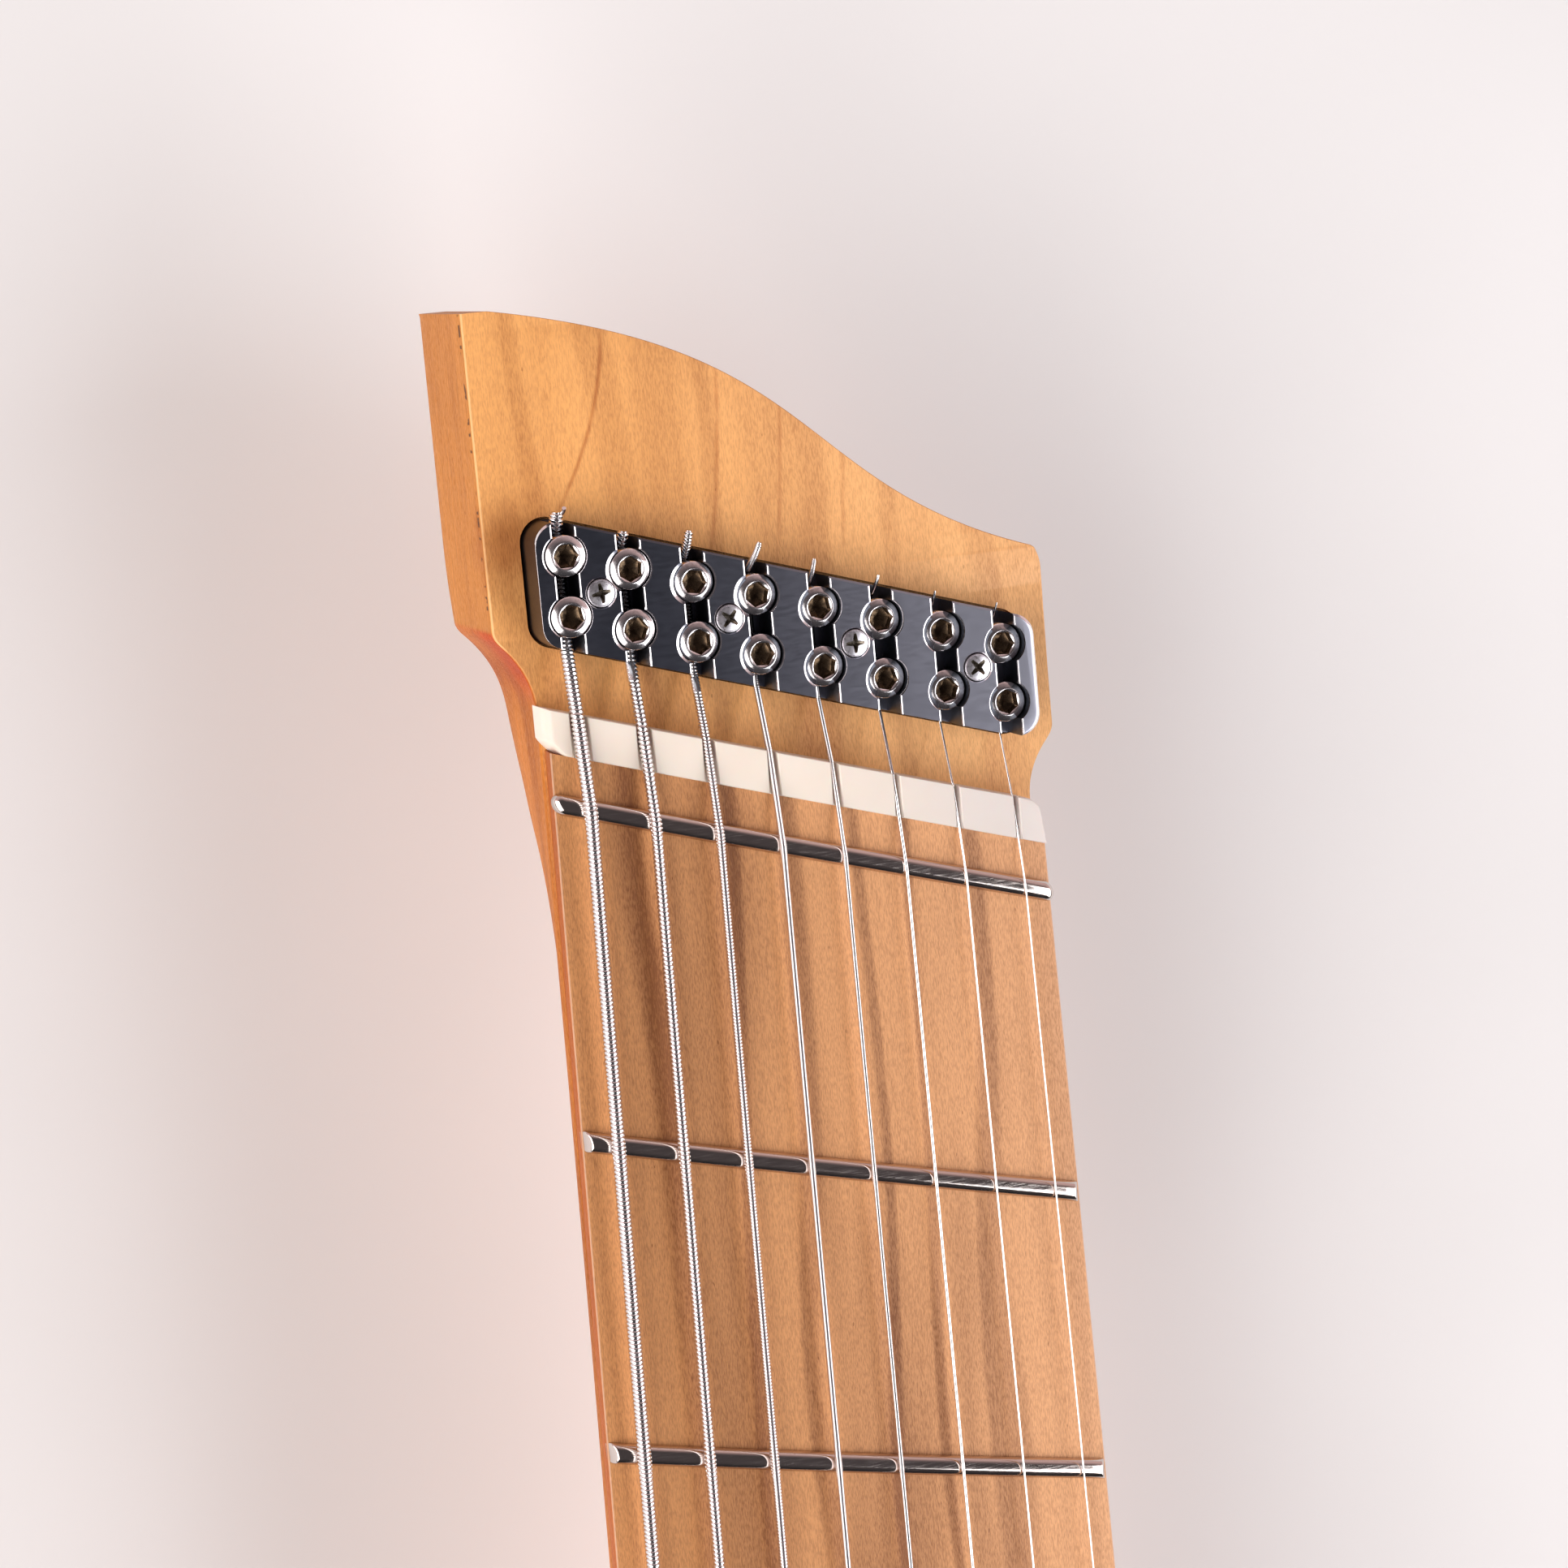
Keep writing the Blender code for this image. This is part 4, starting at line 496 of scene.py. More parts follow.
neck_end, neck_end_slope = fan_line(LAST_FRET)
neck_end += BOARD_BEHIND
HEEL_START = neck_end - HEEL_LENGTH
tip_length = HEAD_LENGTH + HEAD_END[3][0]
neck_stations = np.unique(np.round(np.concatenate([
    -HEAD_LENGTH + tip_length * (1 - np.cos(np.linspace(0, pi / 2, 60))) ** 1.3,
    HEAD_END[3][0] + np.linspace(-0.003, 0.0026, 20), np.linspace(-0.028, 0.024, 120),
    np.linspace(0.024, HEEL_START - HEEL_BLEND, 14), np.linspace(HEEL_START - HEEL_BLEND, HEEL_START, 14),
    [neck_end]]), 7))
neck_bass, neck_treble = neck_edges(neck_stations)
neck_skew = np.where(neck_stations == neck_stations[-1], neck_end_slope, 0.0)
neck = closed_shell("neck", neck_sections(neck_stations, neck_skew, neck_bass, neck_treble), 30)
pocket = upright("pocket_cutter", lock_outline(POCKET_GAP), (LOCK_TOP_Z - LOCK_HEIGHT, EDGE_Z + 0.01))
carve(neck, pocket, sharp=30)
neck_maple, neck_tree, neck_shader, neck_colour = maple_finish(
    "roasted_maple_neck", MAPLE_LIGHT, MAPLE_DARK, 0.0115, 9.0, (0.72, 0.60, 0.41, 1.0), 0.26, 0.34,
    side_light_tints=PAINTED_SIDE_LIGHT)
neck_place = shader_node(neck_tree, "TexCoord").outputs["Object"]
neck_xyz = shader_node(neck_tree, "SeparateXYZ", {0: neck_place})
burn_height = between(neck_tree, count(neck_tree, "ABSOLUTE", count(neck_tree, "SUBTRACT", neck_xyz.outputs["Z"],
                                                                    FACE_Z - 0.0009)), 0.0002, 0.0006, 1.0, 0.0)
burn_side = between(neck_tree, neck_xyz.outputs["Y"], 0.0320, 0.0324)
burn_spot = between(neck_tree, noise(neck_tree, neck_place, (1150, 300, 300), 1.0), 0.52, 0.60)
burn = count(neck_tree, "MULTIPLY", count(neck_tree, "MULTIPLY", burn_height, burn_side), burn_spot)
neck_up = shader_node(neck_tree, "SeparateXYZ", {0: shader_node(neck_tree, "NewGeometry").outputs["Normal"]})
neck_wall = between(neck_tree, neck_up.outputs["Z"], 0.2, 0.7, 1.0, 0.0)
# Painted reflection: the curved wall of the bass shoulder is tinted a strong red-orange, as red light reflected there,
# strongest towards its top edge.
red_reflection_from = between(neck_tree, neck_xyz.outputs["X"], ZERO_FRET_X + 0.0180, ZERO_FRET_X + 0.0245)
red_reflection_to = between(neck_tree, neck_xyz.outputs["X"], ZERO_FRET_X + 0.0280, ZERO_FRET_X + 0.0287, 1.0, 0.0)
red_reflection_top = between(neck_tree, neck_xyz.outputs["Z"], FACE_Z - 0.0130, FACE_Z - 0.0020, 0.35, 1.0)
red_reflection = count(neck_tree, "MULTIPLY", count(neck_tree, "MULTIPLY", red_reflection_from, red_reflection_to), neck_wall)
red_reflection = count(neck_tree, "MULTIPLY", red_reflection, red_reflection_top)
below_head = between(neck_tree, neck_xyz.outputs["X"], ZERO_FRET_X + 0.0225, ZERO_FRET_X + 0.0255, 1.0, 0.0)
below_head = count(neck_tree, "MULTIPLY", below_head, neck_wall)
neck_colour = mixed(neck_tree, below_head, neck_colour, (1.0, 0.86, 0.62, 1.0), "MULTIPLY")
neck_colour = mixed(neck_tree, red_reflection, neck_colour, (0.98, 0.35, 0.16, 1.0), "MULTIPLY")
# Painted highlight: the eased top edge of the head's bass wall is painted paler and yellower.
head_side = between(neck_tree, neck_xyz.outputs["Y"], 0.0312, 0.0322)
head_edge_highlight = count(neck_tree, "MULTIPLY", between(neck_tree, neck_up.outputs["Z"], 0.25, 0.55),
                   between(neck_tree, neck_up.outputs["Z"], 0.90, 0.99, 1.0, 0.0))
head_edge_highlight = count(neck_tree, "MULTIPLY", head_edge_highlight, head_side)
neck_colour = mixed(neck_tree, count(neck_tree, "MULTIPLY", head_edge_highlight, 0.45), neck_colour, (0.98, 0.66, 0.30, 1))
# The head face is darkened to a grey-brown in a ragged patch beside the bass end of the lock block.
block_side_far = shader_node(neck_tree, "VectorMath", {0: neck_place, 1: (0.5979, 0.0306, FACE_Z)}, operation="DISTANCE")
block_side_ragged = count(neck_tree, "MULTIPLY", noise(neck_tree, neck_place, (260, 420, 420), 3.0), 0.0065)
block_side_darkening = between(neck_tree, count(neck_tree, "ADD", block_side_far.outputs["Value"], block_side_ragged), 0.0042, 0.0100,
                 0.85, 0.0)
neck_colour = mixed(neck_tree, block_side_darkening, neck_colour, (0.68, 0.54, 0.46, 1.0), "MULTIPLY")
growth_lines = 0.0
for strength, line_points in zip((1.0, 0.7, 0.6, 0.5), NECK_LINES):
    one_line = curved_line(neck_tree, neck_xyz, line_points, 0.00045)
    growth_lines = count(neck_tree, "MAXIMUM", count(neck_tree, "MULTIPLY", one_line, strength), growth_lines)
growth_broken = between(neck_tree, noise(neck_tree, neck_place, (300, 300, 300), 2.0), 0.25, 0.60, 0.45, 1.0)
growth_lines = count(neck_tree, "MULTIPLY", growth_lines, growth_broken)
neck_colour = mixed(neck_tree, count(neck_tree, "MULTIPLY", growth_lines, 0.85), neck_colour,
                    (0.62, 0.44, 0.34, 1.0), "MULTIPLY")
neck_colour = mixed(neck_tree, count(neck_tree, "MULTIPLY", burn, 0.9), neck_colour, (0.075, 0.026, 0.010, 1))
neck_tree.links.new(neck_colour, neck_shader.inputs["Base Color"])
fit(neck, neck_maple, ["neck"])

# The fingerboard is a thinner slab of the same maple, glued on the neck, with a slightly round top,
# rolled edges and walls that lean in a little to meet the neck.
BOARD_AHEAD = 0.0057
BOARD_RADIUS = 0.508
BOARD_ROLL = 0.00026
BOARD_LIGHT = (0.68, 0.335, 0.148, 1.0)
BOARD_DARK = (0.21, 0.078, 0.028, 1.0)
# Colour painted on the board's rolled edges as a highlight.
BOARD_EDGE_HIGHLIGHT = (0.66, 0.42, 0.30, 1.0)


def crown(y):
    """Height of the board's round top over its edge: a circle's sagitta, (half width^2 - y^2) / 2 radius."""
    return ((BOARD_WIDTH / 2) ** 2 - np.asarray(y) ** 2) / (2 * BOARD_RADIUS)


def across_board(centre, slope, share):
    """y on a fan line at a share, -1 to 1, of the board's half width, which itself grows along the line."""
    return share * board_half(centre) / (1 - share * BOARD_TAPER / 2 * slope)


board_along = np.linspace(0, 1, 90)[:, None]
_, zero_slope = fan_line(0)
roll = np.linspace(pi / 2, 0, 7)[:, None].T
board_share = np.linspace(1, -1, 33)[None, 1:-1]
board_centre = -BOARD_AHEAD + (neck_end + BOARD_AHEAD) * board_along
board_slope = zero_slope + (neck_end_slope - zero_slope) * board_along
board_bass = across_board(board_centre, board_slope, 1.0)
board_treble = across_board(board_centre, board_slope, -1.0)
board_top_y = across_board(board_centre, board_slope, board_share * 0.975)
board_y = np.concatenate([
    board_bass - BOARD_LEAN, board_bass - BOARD_ROLL * (1 - np.sin(roll)), board_top_y,
    board_treble + BOARD_ROLL * (1 - np.sin(roll[:, ::-1])), board_treble + BOARD_LEAN], axis=1)
board_top = EDGE_Z + crown(board_y)
board_top[:, 1:8] -= BOARD_ROLL * (1 - np.cos(roll))
board_top[:, -8:-1] -= BOARD_ROLL * (1 - np.cos(roll[:, ::-1]))
board_top[:, 0] = FACE_Z
board_top[:, -1] = FACE_Z
board = closed_shell("fretboard", spots(board_centre + board_slope * board_y, board_y, board_top), 40)
board_maple, board_tree, board_shader, board_colour = maple_finish(
    "roasted_maple_board", BOARD_LIGHT, BOARD_DARK, 0.0080, 5.0, (0.76, 0.44, 0.20, 1.0), 0.42, 0.42,
    edge_share=0.3, side_light_tints=PAINTED_SIDE_LIGHT)
board_normal = shader_node(board_tree, "NewGeometry").outputs["Normal"]
board_up = shader_node(board_tree, "SeparateXYZ", {0: board_normal}).outputs["Z"]
# Painted highlight: the rolled edges of the board are painted paler and pinker along their whole length.
rolled_edge_highlight = count(board_tree, "MULTIPLY", between(board_tree, board_up, 0.25, 0.5),
                     between(board_tree, board_up, 0.90, 0.99, 1.0, 0.0))
board_tree.links.new(mixed(board_tree, count(board_tree, "MULTIPLY", rolled_edge_highlight, 0.5), board_colour, BOARD_EDGE_HIGHLIGHT),
                     board_shader.inputs["Base Color"])
fit(board, board_maple, ["fretboard"])

# Frets: one nickel-steel wire bead pressed into the board on each fan line. The zero fret's ends are
# domed and the others' are filed to a flat bevel, and each bead follows the board's round top.
FRET_WIDTH = 0.0025
FRET_HEIGHT = 0.0012
FRET_BEVEL = radians(29)
FRET_BEVEL_ROUND = 0.00022
FRET_FOOT = -0.4
FRET_PAST_EDGE = 0.00005
ZERO_PAST_EDGE = 0.00030


def fret_bead(number):
    """Rings of a half-oval bead along a fan line: height times sin(turn)^0.8 over the board's crown. A bevelled
    end is a flat facet, drawn back by (height over the foot) tan(bevel), and its rim is a quarter circle;
    the zero fret's domed end shrinks as a quarter circle."""
    centre, slope = fan_line(number)
    past = FRET_PAST_EDGE if number else ZERO_PAST_EDGE
    bass = across_board(centre, slope, 1.0) + past
    treble = across_board(centre, slope, -1.0) - past
    turn = np.linspace(0, pi, 25)[None]
    side = np.concatenate([-np.cos(turn), [[0.85, 0.3, -0.3, -0.85]]], axis=1)
    rise = np.concatenate([np.sin(turn) ** 0.8, [[FRET_FOOT] * 4]], axis=1)
    if number == 0:
        round_in = FRET_WIDTH / 2 * (1 - np.cos(np.linspace(0.12, pi / 2, 9)))
        grow = np.sin(np.linspace(0.12, pi / 2, 9))
        ends_y = np.concatenate([bass - round_in, np.linspace(bass, treble, 50)[3:-3],
                                 (treble + round_in)[::-1]])[:, None]
        size = np.concatenate([grow, np.ones(44), grow[::-1]])[:, None]
        y = ends_y + 0 * side
        side, rise = side * size, rise * size
    else:
        rim = np.linspace(0, pi / 2, 5)
        inset = FRET_BEVEL_ROUND * (1 - np.cos(rim))
        size = 1 - FRET_BEVEL_ROUND * (1 - np.sin(rim)) / (FRET_WIDTH / 2)
        share = np.concatenate([np.zeros(5), np.linspace(0, 1, 50)[1:-1], np.ones(5)])[:, None]
        inset = np.concatenate([inset, np.full(48, FRET_BEVEL_ROUND), inset[::-1]])[:, None]
        size = np.concatenate([size, np.ones(48), size[::-1]])[:, None]
        side, rise = side * size, rise * size
        back = FRET_HEIGHT * (rise - FRET_FOOT) * tan(FRET_BEVEL) + inset
        y = (bass - back) * (1 - share) + (treble + back) * share
    z = EDGE_Z + crown(y) + FRET_HEIGHT * rise
    return spots(centre + slope * y + FRET_WIDTH / 2 * side, y, z)


# The fret steel's pinkish brown colour is partly the metal's warm tone and partly a painted reflection of the pinkish
# room beyond the head.
fret_steel, fret_tree, fret_shader = finish("fret_nickel_steel", 0.12, 1.0, Base_Color=(0.64, 0.56, 0.52, 1.0))
fret_place = shader_node(fret_tree, "TexCoord").outputs["Object"]
fret_rub = noise(fret_tree, fret_place, (9000, 420, 900), 3.0)
fret_tree.links.new(between(fret_tree, fret_rub, 0.35, 0.75, 0.07, 0.20), fret_shader.inputs["Roughness"])
for number in range(LAST_FRET + 1):
    fret = closed_shell(f"fret_{number}" if number else "zero_fret", fret_bead(number), 50)
    fit(fret, fret_steel, ["fretboard"])

# The nut only guides the strings behind the zero fret: a bar of off-white bone or its like, with a slot
# for each string that falls towards the head, a soft bevel on both long edges and rounded ends.
NUT_LENGTH = 0.0050
NUT_LEVEL = 0.0003
NUT_HALF = 0.0294
NUT_BASS_CORNER = (0.00136, 0.0014)
NUT_TREBLE_CORNER = (0.0008, 0.0010)
NUT_TREBLE_HALF = (0.02947, 0.0289)
NUT_END_ROUND = (0.0011, 0.0020)
NUT_EASED = 0.00014
NUT_STRING_LEVEL = (0.00015, -0.00075)
NUT_SLOT_SIDE = (0.00006, 0.00036)
STRING_DIAMETERS = (0.00165, 0.00137, 0.00107, 0.00081, 0.00061, 0.00041, 0.00028, 0.00023)
STRING_ASIDE = -0.00012
BONE = (0.83, 0.73, 0.63, 1.0)


def nut_string_z(string, share):
    """Height of a string's middle over the nut; share runs from 0 at the board to 1 at the head side."""
    level = NUT_STRING_LEVEL[0] + (NUT_STRING_LEVEL[1] - NUT_STRING_LEVEL[0]) * share
    return EDGE_Z + crown(spread_y(string, SPREAD_ZERO)) + level + STRING_DIAMETERS[string] / 2


nut_share = np.concatenate([[0.0], np.linspace(0.02, 0.3, 9), np.linspace(0.35, 0.86, 4),
                            np.linspace(0.88, 0.98, 4), [1.0]])
nut_eased = NUT_EASED * np.array([1.0] + [0.0] * 17 + [1.0])
bass_near = 1 - np.clip(nut_share * NUT_LENGTH / NUT_BASS_CORNER[0], 0, 1)
treble_near = 1 - np.clip((1 - nut_share) * NUT_LENGTH / NUT_TREBLE_CORNER[0], 0, 1)
nut_bass_y = NUT_HALF - NUT_BASS_CORNER[1] * bass_near ** 1.35
nut_treble_y = -NUT_TREBLE_HALF[0] + (NUT_TREBLE_HALF[0] - NUT_TREBLE_HALF[1]) * nut_share
nut_treble_y = nut_treble_y + NUT_TREBLE_CORNER[1] * treble_near ** 1.2
nut_turn = np.linspace(0, pi / 2, 7)
nut_profile_y = [nut_bass_y - NUT_END_ROUND[0] * (1 - cos(t)) for t in nut_turn]
nut_profile_z = [np.full_like(nut_share, -NUT_END_ROUND[1] * (1 - sin(t)) - 1e-6) for t in nut_turn]
for string in range(STRINGS):
    slot_y = float(spread_y(string, SPREAD_ZERO)) + STRING_ASIDE
    radius = STRING_DIAMETERS[string] / 2
    bass_wall = slot_y + radius + NUT_SLOT_SIDE[0]
    treble_wall = slot_y - radius - NUT_SLOT_SIDE[1]
    bottom = nut_string_z(string, nut_share) - radius - 0.0001
    for wall_y, fillet in ((bass_wall, 1), (treble_wall, -1)):
        steps = [(wall_y + fillet * 0.00012, np.nan), (wall_y, -0.00012), (wall_y, 0.00025),
                 (wall_y - fillet * 0.00025, 0.0)]
        for step_y, step_z in steps if fillet > 0 else reversed(steps):
            nut_profile_y.append(np.full_like(nut_share, step_y))
            if np.isnan(step_z) or step_z < 0:
                nut_profile_z.append(np.full_like(nut_share, np.nan if np.isnan(step_z) else step_z))
            else:
                nut_profile_z.append(bottom + step_z)
nut_profile_y += [nut_treble_y + NUT_END_ROUND[0] * 0.2 * (1 - cos(t)) for t in nut_turn[::-1]]
nut_profile_z += [np.full_like(nut_share, -NUT_END_ROUND[1] * 0.2 * (1 - sin(t)) - 1e-6) for t in nut_turn[::-1]]
nut_y = np.array(nut_profile_y).T
nut_z = np.array(nut_profile_z).T
nut_top = EDGE_Z + NUT_LEVEL + crown(nut_y) - nut_eased[:, None]
nut_z = np.where(np.isnan(nut_z), nut_top, np.where(nut_z < 0, nut_top + nut_z, nut_z))
nut_foot = np.stack([nut_treble_y, nut_bass_y], axis=1)
nut_y = np.concatenate([nut_y, nut_foot], axis=1)
nut_z = np.concatenate([nut_z, np.full_like(nut_foot, FACE_Z)], axis=1)
nut_in = (nut_eased * np.array([1.0] + [0.0] * 17 + [-1.0]))[:, None] / NUT_LENGTH
nut_in = nut_in * (nut_z > EDGE_Z - 0.001)
nut_along = fan_line(0)[1] * nut_y - BOARD_AHEAD - (nut_share[:, None] + 0 * nut_in) * NUT_LENGTH
nut = closed_shell("nut", spots(nut_along, nut_y, nut_z), 40)
bone, bone_tree, bone_shader = finish("nut_bone", 0.38, Subsurface_Weight=0.15, Subsurface_Scale=0.002)
bone_place = shader_node(bone_tree, "TexCoord").outputs["Object"]
bone_cloud = between(bone_tree, noise(bone_tree, bone_place, (140, 110, 140), 4.0), 0.3, 0.7)
# Painted shade: towards its treble end the nut is multiplied by a cool grey.
bone_treble_shade = between(bone_tree, shader_node(bone_tree, "SeparateXYZ", {0: bone_place}).outputs["Y"], 0.002, -0.028)
bone_colour = mixed(bone_tree, bone_cloud, BONE, (0.81, 0.705, 0.60, 1))
bone_colour = mixed(bone_tree, bone_treble_shade, bone_colour, (0.82, 0.84, 0.91, 1), "MULTIPLY")
bone_tree.links.new(bone_colour, bone_shader.inputs["Base Color"])
bone_grit = noise(bone_tree, bone_place, (1800, 1800, 1800), 2.0)
bone_tree.links.new(between(bone_tree, bone_grit, 0.3, 0.7, 0.34, 0.44), bone_shader.inputs["Roughness"])
bump(bone_tree, bone_shader, bone_grit, 0.000003)
fit(nut, bone, ["nut"])

# The lock block is milled from one bar, finished in satin black nickel with bright broken edges, which are partly
# painted highlights. A slot for each string runs through it, and two tapped, counterbored holes on each slot take the
# clamp screws.
SLOT_WIDTH = 0.0025
SLOT_DEPTH = 0.0046
LOCK_SPREAD = 0.05126
ROW_SPACING = 0.0068
HOLE_DIAMETER = 0.00486
HOLE_BREAK = (0.00016, 0.00038, 0.00040, 0.00042, 0.00024, 0.00028, 0.00014, 0.00010)
EDGE_BREAK = 0.00015
EDGE_TURN = (0.00010, 0.00012)
BLOCK_CHAMFER = 0.00002
BLOCK_HEAD_CHAMFER = 0.00026
BLOCK_TREBLE_ROUND = 0.00070
# Colours of the block's top at its bass end and, paler as painted sheen, at its treble end.
BLOCK_BASS = (0.074, 0.077, 0.098, 1.0)
BLOCK_TREBLE_SHEEN = (0.320, 0.315, 0.365, 1.0)
HOLD_DIAMETER = 0.0032


def lock_y(string):
    return LOCK_OFFSET + spread_y(string, LOCK_SPREAD)


def turned(name, profile, centre, along=(0, 0, 1), around=48, shape=None, sharp=35.0):
    """A turned piece from (radius, distance) pairs along an axis; shape may give a ring a radius and a rise
    by angle."""
    axis = np.array(along, dtype=float)
    side = np.cross(axis, (0.0, 0.0, 1.0) if abs(axis[2]) < 0.5 else (1.0, 0.0, 0.0))
    side /= np.linalg.norm(side)
    up = np.cross(axis, side)
    angle = np.arange(around) * 2 * pi / around
    spin = np.cos(angle)[:, None] * side + np.sin(angle)[:, None] * up
    rings = []
    for step, (radius, distance) in enumerate(profile):
        reach, rise = (np.full(around, float(radius)), 0 * angle) if shape is None else shape(step, radius, angle)
        rings.append(np.array(centre) + axis * (distance + rise)[:, None] + reach[:, None] * spin)
    return closed_shell(name, np.array(rings), sharp)


def leaning_break(step, radius, angle):
    """The broken edge of a bore is wide on its bass side, where angle is 0, and all but sharp opposite."""
    if step not in (3, 4):
        return np.full(len(angle), float(radius)), 0 * angle
    inner = HOLE_DIAMETER / 2 + 0.00003
    return inner + (radius - inner) * (0.16 + 0.84 * ((1 + np.cos(angle)) / 2) ** 1.5), 0 * angle


def lock_point(string, row):
    y = float(lock_y(string))
    return ZERO_FRET_X - float(lock_station(y, row * ROW_SPACING / LOCK_LENGTH)), y


def hold_point(number):
    y = float(lock_y(2 * number) + lock_y(2 * number + 1)) / 2
    return ZERO_FRET_X - float(lock_station(y, 0.0)), y


block_arc = np.linspace(0, pi / 2, 10)
block_levels = np.concatenate([[-LOCK_HEIGHT], -BLOCK_TREBLE_ROUND * (1 - np.sin(block_arc))])
block_rings = [lock_outline(0.0, 0.0)]
for turn, level in zip(block_arc, block_levels[1:]):
    block_rings.append(lock_outline(-max(0.0, BLOCK_CHAMFER + level), -BLOCK_TREBLE_ROUND * (1 - cos(turn)),
                                    -max(0.0, BLOCK_HEAD_CHAMFER + level) - 0.00005))
block = upright("headpiece", block_rings, LOCK_TOP_Z + block_levels, 25)
cutters = []
for string in range(STRINGS):
    x, y = lock_point(string, 0.0)
    section = []
    turn_wide, turn_deep = EDGE_TURN
    for wide, z in ((0, -SLOT_DEPTH), (0, -turn_deep - 0.4 * EDGE_BREAK), (turn_wide, -0.4 * EDGE_BREAK),
                    (turn_wide + 2 * EDGE_BREAK, 0.4 * EDGE_BREAK), (0.0012, 0.002)):
        section.append((SLOT_WIDTH / 2, wide, LOCK_TOP_Z + z))
    section = np.array([(half + wide, z) for half, wide, z in section]
                       + [(-half - 0.75 * wide, z) for half, wide, z in reversed(section)])
    rings = [np.column_stack([np.full(len(section), x + end), y + section[:, 0], section[:, 1]])
             for end in (-LOCK_LENGTH, LOCK_LENGTH)]
    cutters.append(closed_shell(f"slot_cutter_{string}", np.array(rings)))
    for row in (-0.5, 0.5):
        radius = HOLE_DIAMETER / 2
        broken = HOLE_BREAK[string] * (1.0 if row < 0 else 0.75)
        profile = ((0, -SLOT_DEPTH + 0.0004), (radius, -SLOT_DEPTH + 0.0004), (radius, -turn_deep - 0.4 * broken),
                   (radius + turn_wide, -0.4 * broken), (radius + turn_wide + 2 * broken, 0.4 * broken),
                   (radius + 0.0015, 0.002), (0, 0.002))
        hole = turned(f"hole_cutter_{string}_{row}", profile, (*lock_point(string, row), LOCK_TOP_Z),
                      around=64, shape=leaning_break)
        cutters.append(hole)
for number in range(STRINGS // 2):
    radius = HOLD_DIAMETER / 2 + 0.0001
    profile = ((0, -0.003), (radius, -0.003), (radius, -0.0001), (radius + 0.0002, 0.0001),
               (radius + 0.001, 0.002), (0, 0.002))
    cutters.append(turned(f"hold_cutter_{number}", profile, (*hold_point(number), LOCK_TOP_Z)))
carve(block, *cutters, sharp=13)
nickel, nickel_tree, nickel_shader = finish("black_nickel", 0.3, 1.0)
nickel_place = shader_node(nickel_tree, "TexCoord").outputs["Object"]
nickel_normal = shader_node(nickel_tree, "NewGeometry").outputs["Normal"]
nickel_up = shader_node(nickel_tree, "SeparateXYZ", {0: nickel_normal}).outputs["Z"]
nickel_aside = count(nickel_tree, "ABSOLUTE", shader_node(nickel_tree, "SeparateXYZ", {0: nickel_normal}).outputs["Y"])
# Broken edges are bare bright metal, partly real and partly a painted highlight: only those facing the bass or treble
# side, where the side lamps catch them, are painted bright.
nickel_flat = between(nickel_tree, nickel_up, 0.975, 0.992)
nickel_wall = between(nickel_tree, nickel_up, 0.10, 0.30, 1.0, 0.0)
edge_metal_and_highlight = count(nickel_tree, "SUBTRACT", 1.0, count(nickel_tree, "ADD", nickel_flat, nickel_wall))
edge_metal_and_highlight = count(nickel_tree, "MULTIPLY", edge_metal_and_highlight, between(nickel_tree, nickel_aside, 0.25, 0.34))
nickel_grain = noise(nickel_tree, nickel_place, (2600, 500, 2600), 2.0)
nickel_cloud = noise(nickel_tree, nickel_place, (130, 130, 130), 5.0)
nickel_across = shader_node(nickel_tree, "SeparateXYZ", {0: nickel_place}).outputs["Y"]
# Painted sheen: the block's top runs from near black at the bass end to a paler blue-grey at the treble end, as the
# treble lamp's reflection.
nickel_treble_sheen = mixed(nickel_tree, between(nickel_tree, nickel_across, 0.020, -0.030), BLOCK_BASS, BLOCK_TREBLE_SHEEN)
nickel_top = mixed(nickel_tree, between(nickel_tree, nickel_cloud, 0.3, 0.7, 0.0, 0.07), nickel_treble_sheen,
                   (0.36, 0.34, 0.40, 1))
nickel_dark = mixed(nickel_tree, nickel_wall, nickel_top, (0.10, 0.11, 0.13, 1))
nickel_tree.links.new(mixed(nickel_tree, edge_metal_and_highlight, nickel_dark, (0.90, 0.86, 0.88, 1)),
                      nickel_shader.inputs["Base Color"])
nickel_rough = between(nickel_tree, nickel_grain, 0.3, 0.7, 0.29, 0.33)
nickel_rough = count(nickel_tree, "SUBTRACT", nickel_rough, count(nickel_tree, "MULTIPLY", edge_metal_and_highlight, 0.14))
nickel_tree.links.new(nickel_rough, nickel_shader.inputs["Roughness"])
fit(block, nickel, ["headpiece"])

# Two clamp screws stand on each string and press it down. All are alike, so they sit deeper in the block on a thinner
# string. Each has a domed rim, a turned groove and ring, and a six-sided key socket with a countersunk mouth. The
# socket's walls are painted dark brown as shade in the recess, and its floor carries a painted glint.
CLAMP_DIAMETER = 0.00464
CLAMP_LENGTH = 0.00260
CLAMP_ON_STRING = 0.0003
CLAMP_SINK = 0.22
CLAMP_CONE = (0.00160, 0.00038, 1.18)
CLAMP_RING = ((0.00155, -0.00007), (0.00150, -0.00001), (0.00144, -0.00003))
KEY_FLATS = 0.00255
KEY_MOUTH = 0.8
KEY_DEPTH = 0.0015
KEY_CONE = 0.0007
KEY_DARK = (0.055, 0.034, 0.020, 1.0)
KEY_WORN = (0.155, 0.100, 0.058, 1.0)
KEY_GLINT = (0.62, 0.42, 0.24, 1.0)


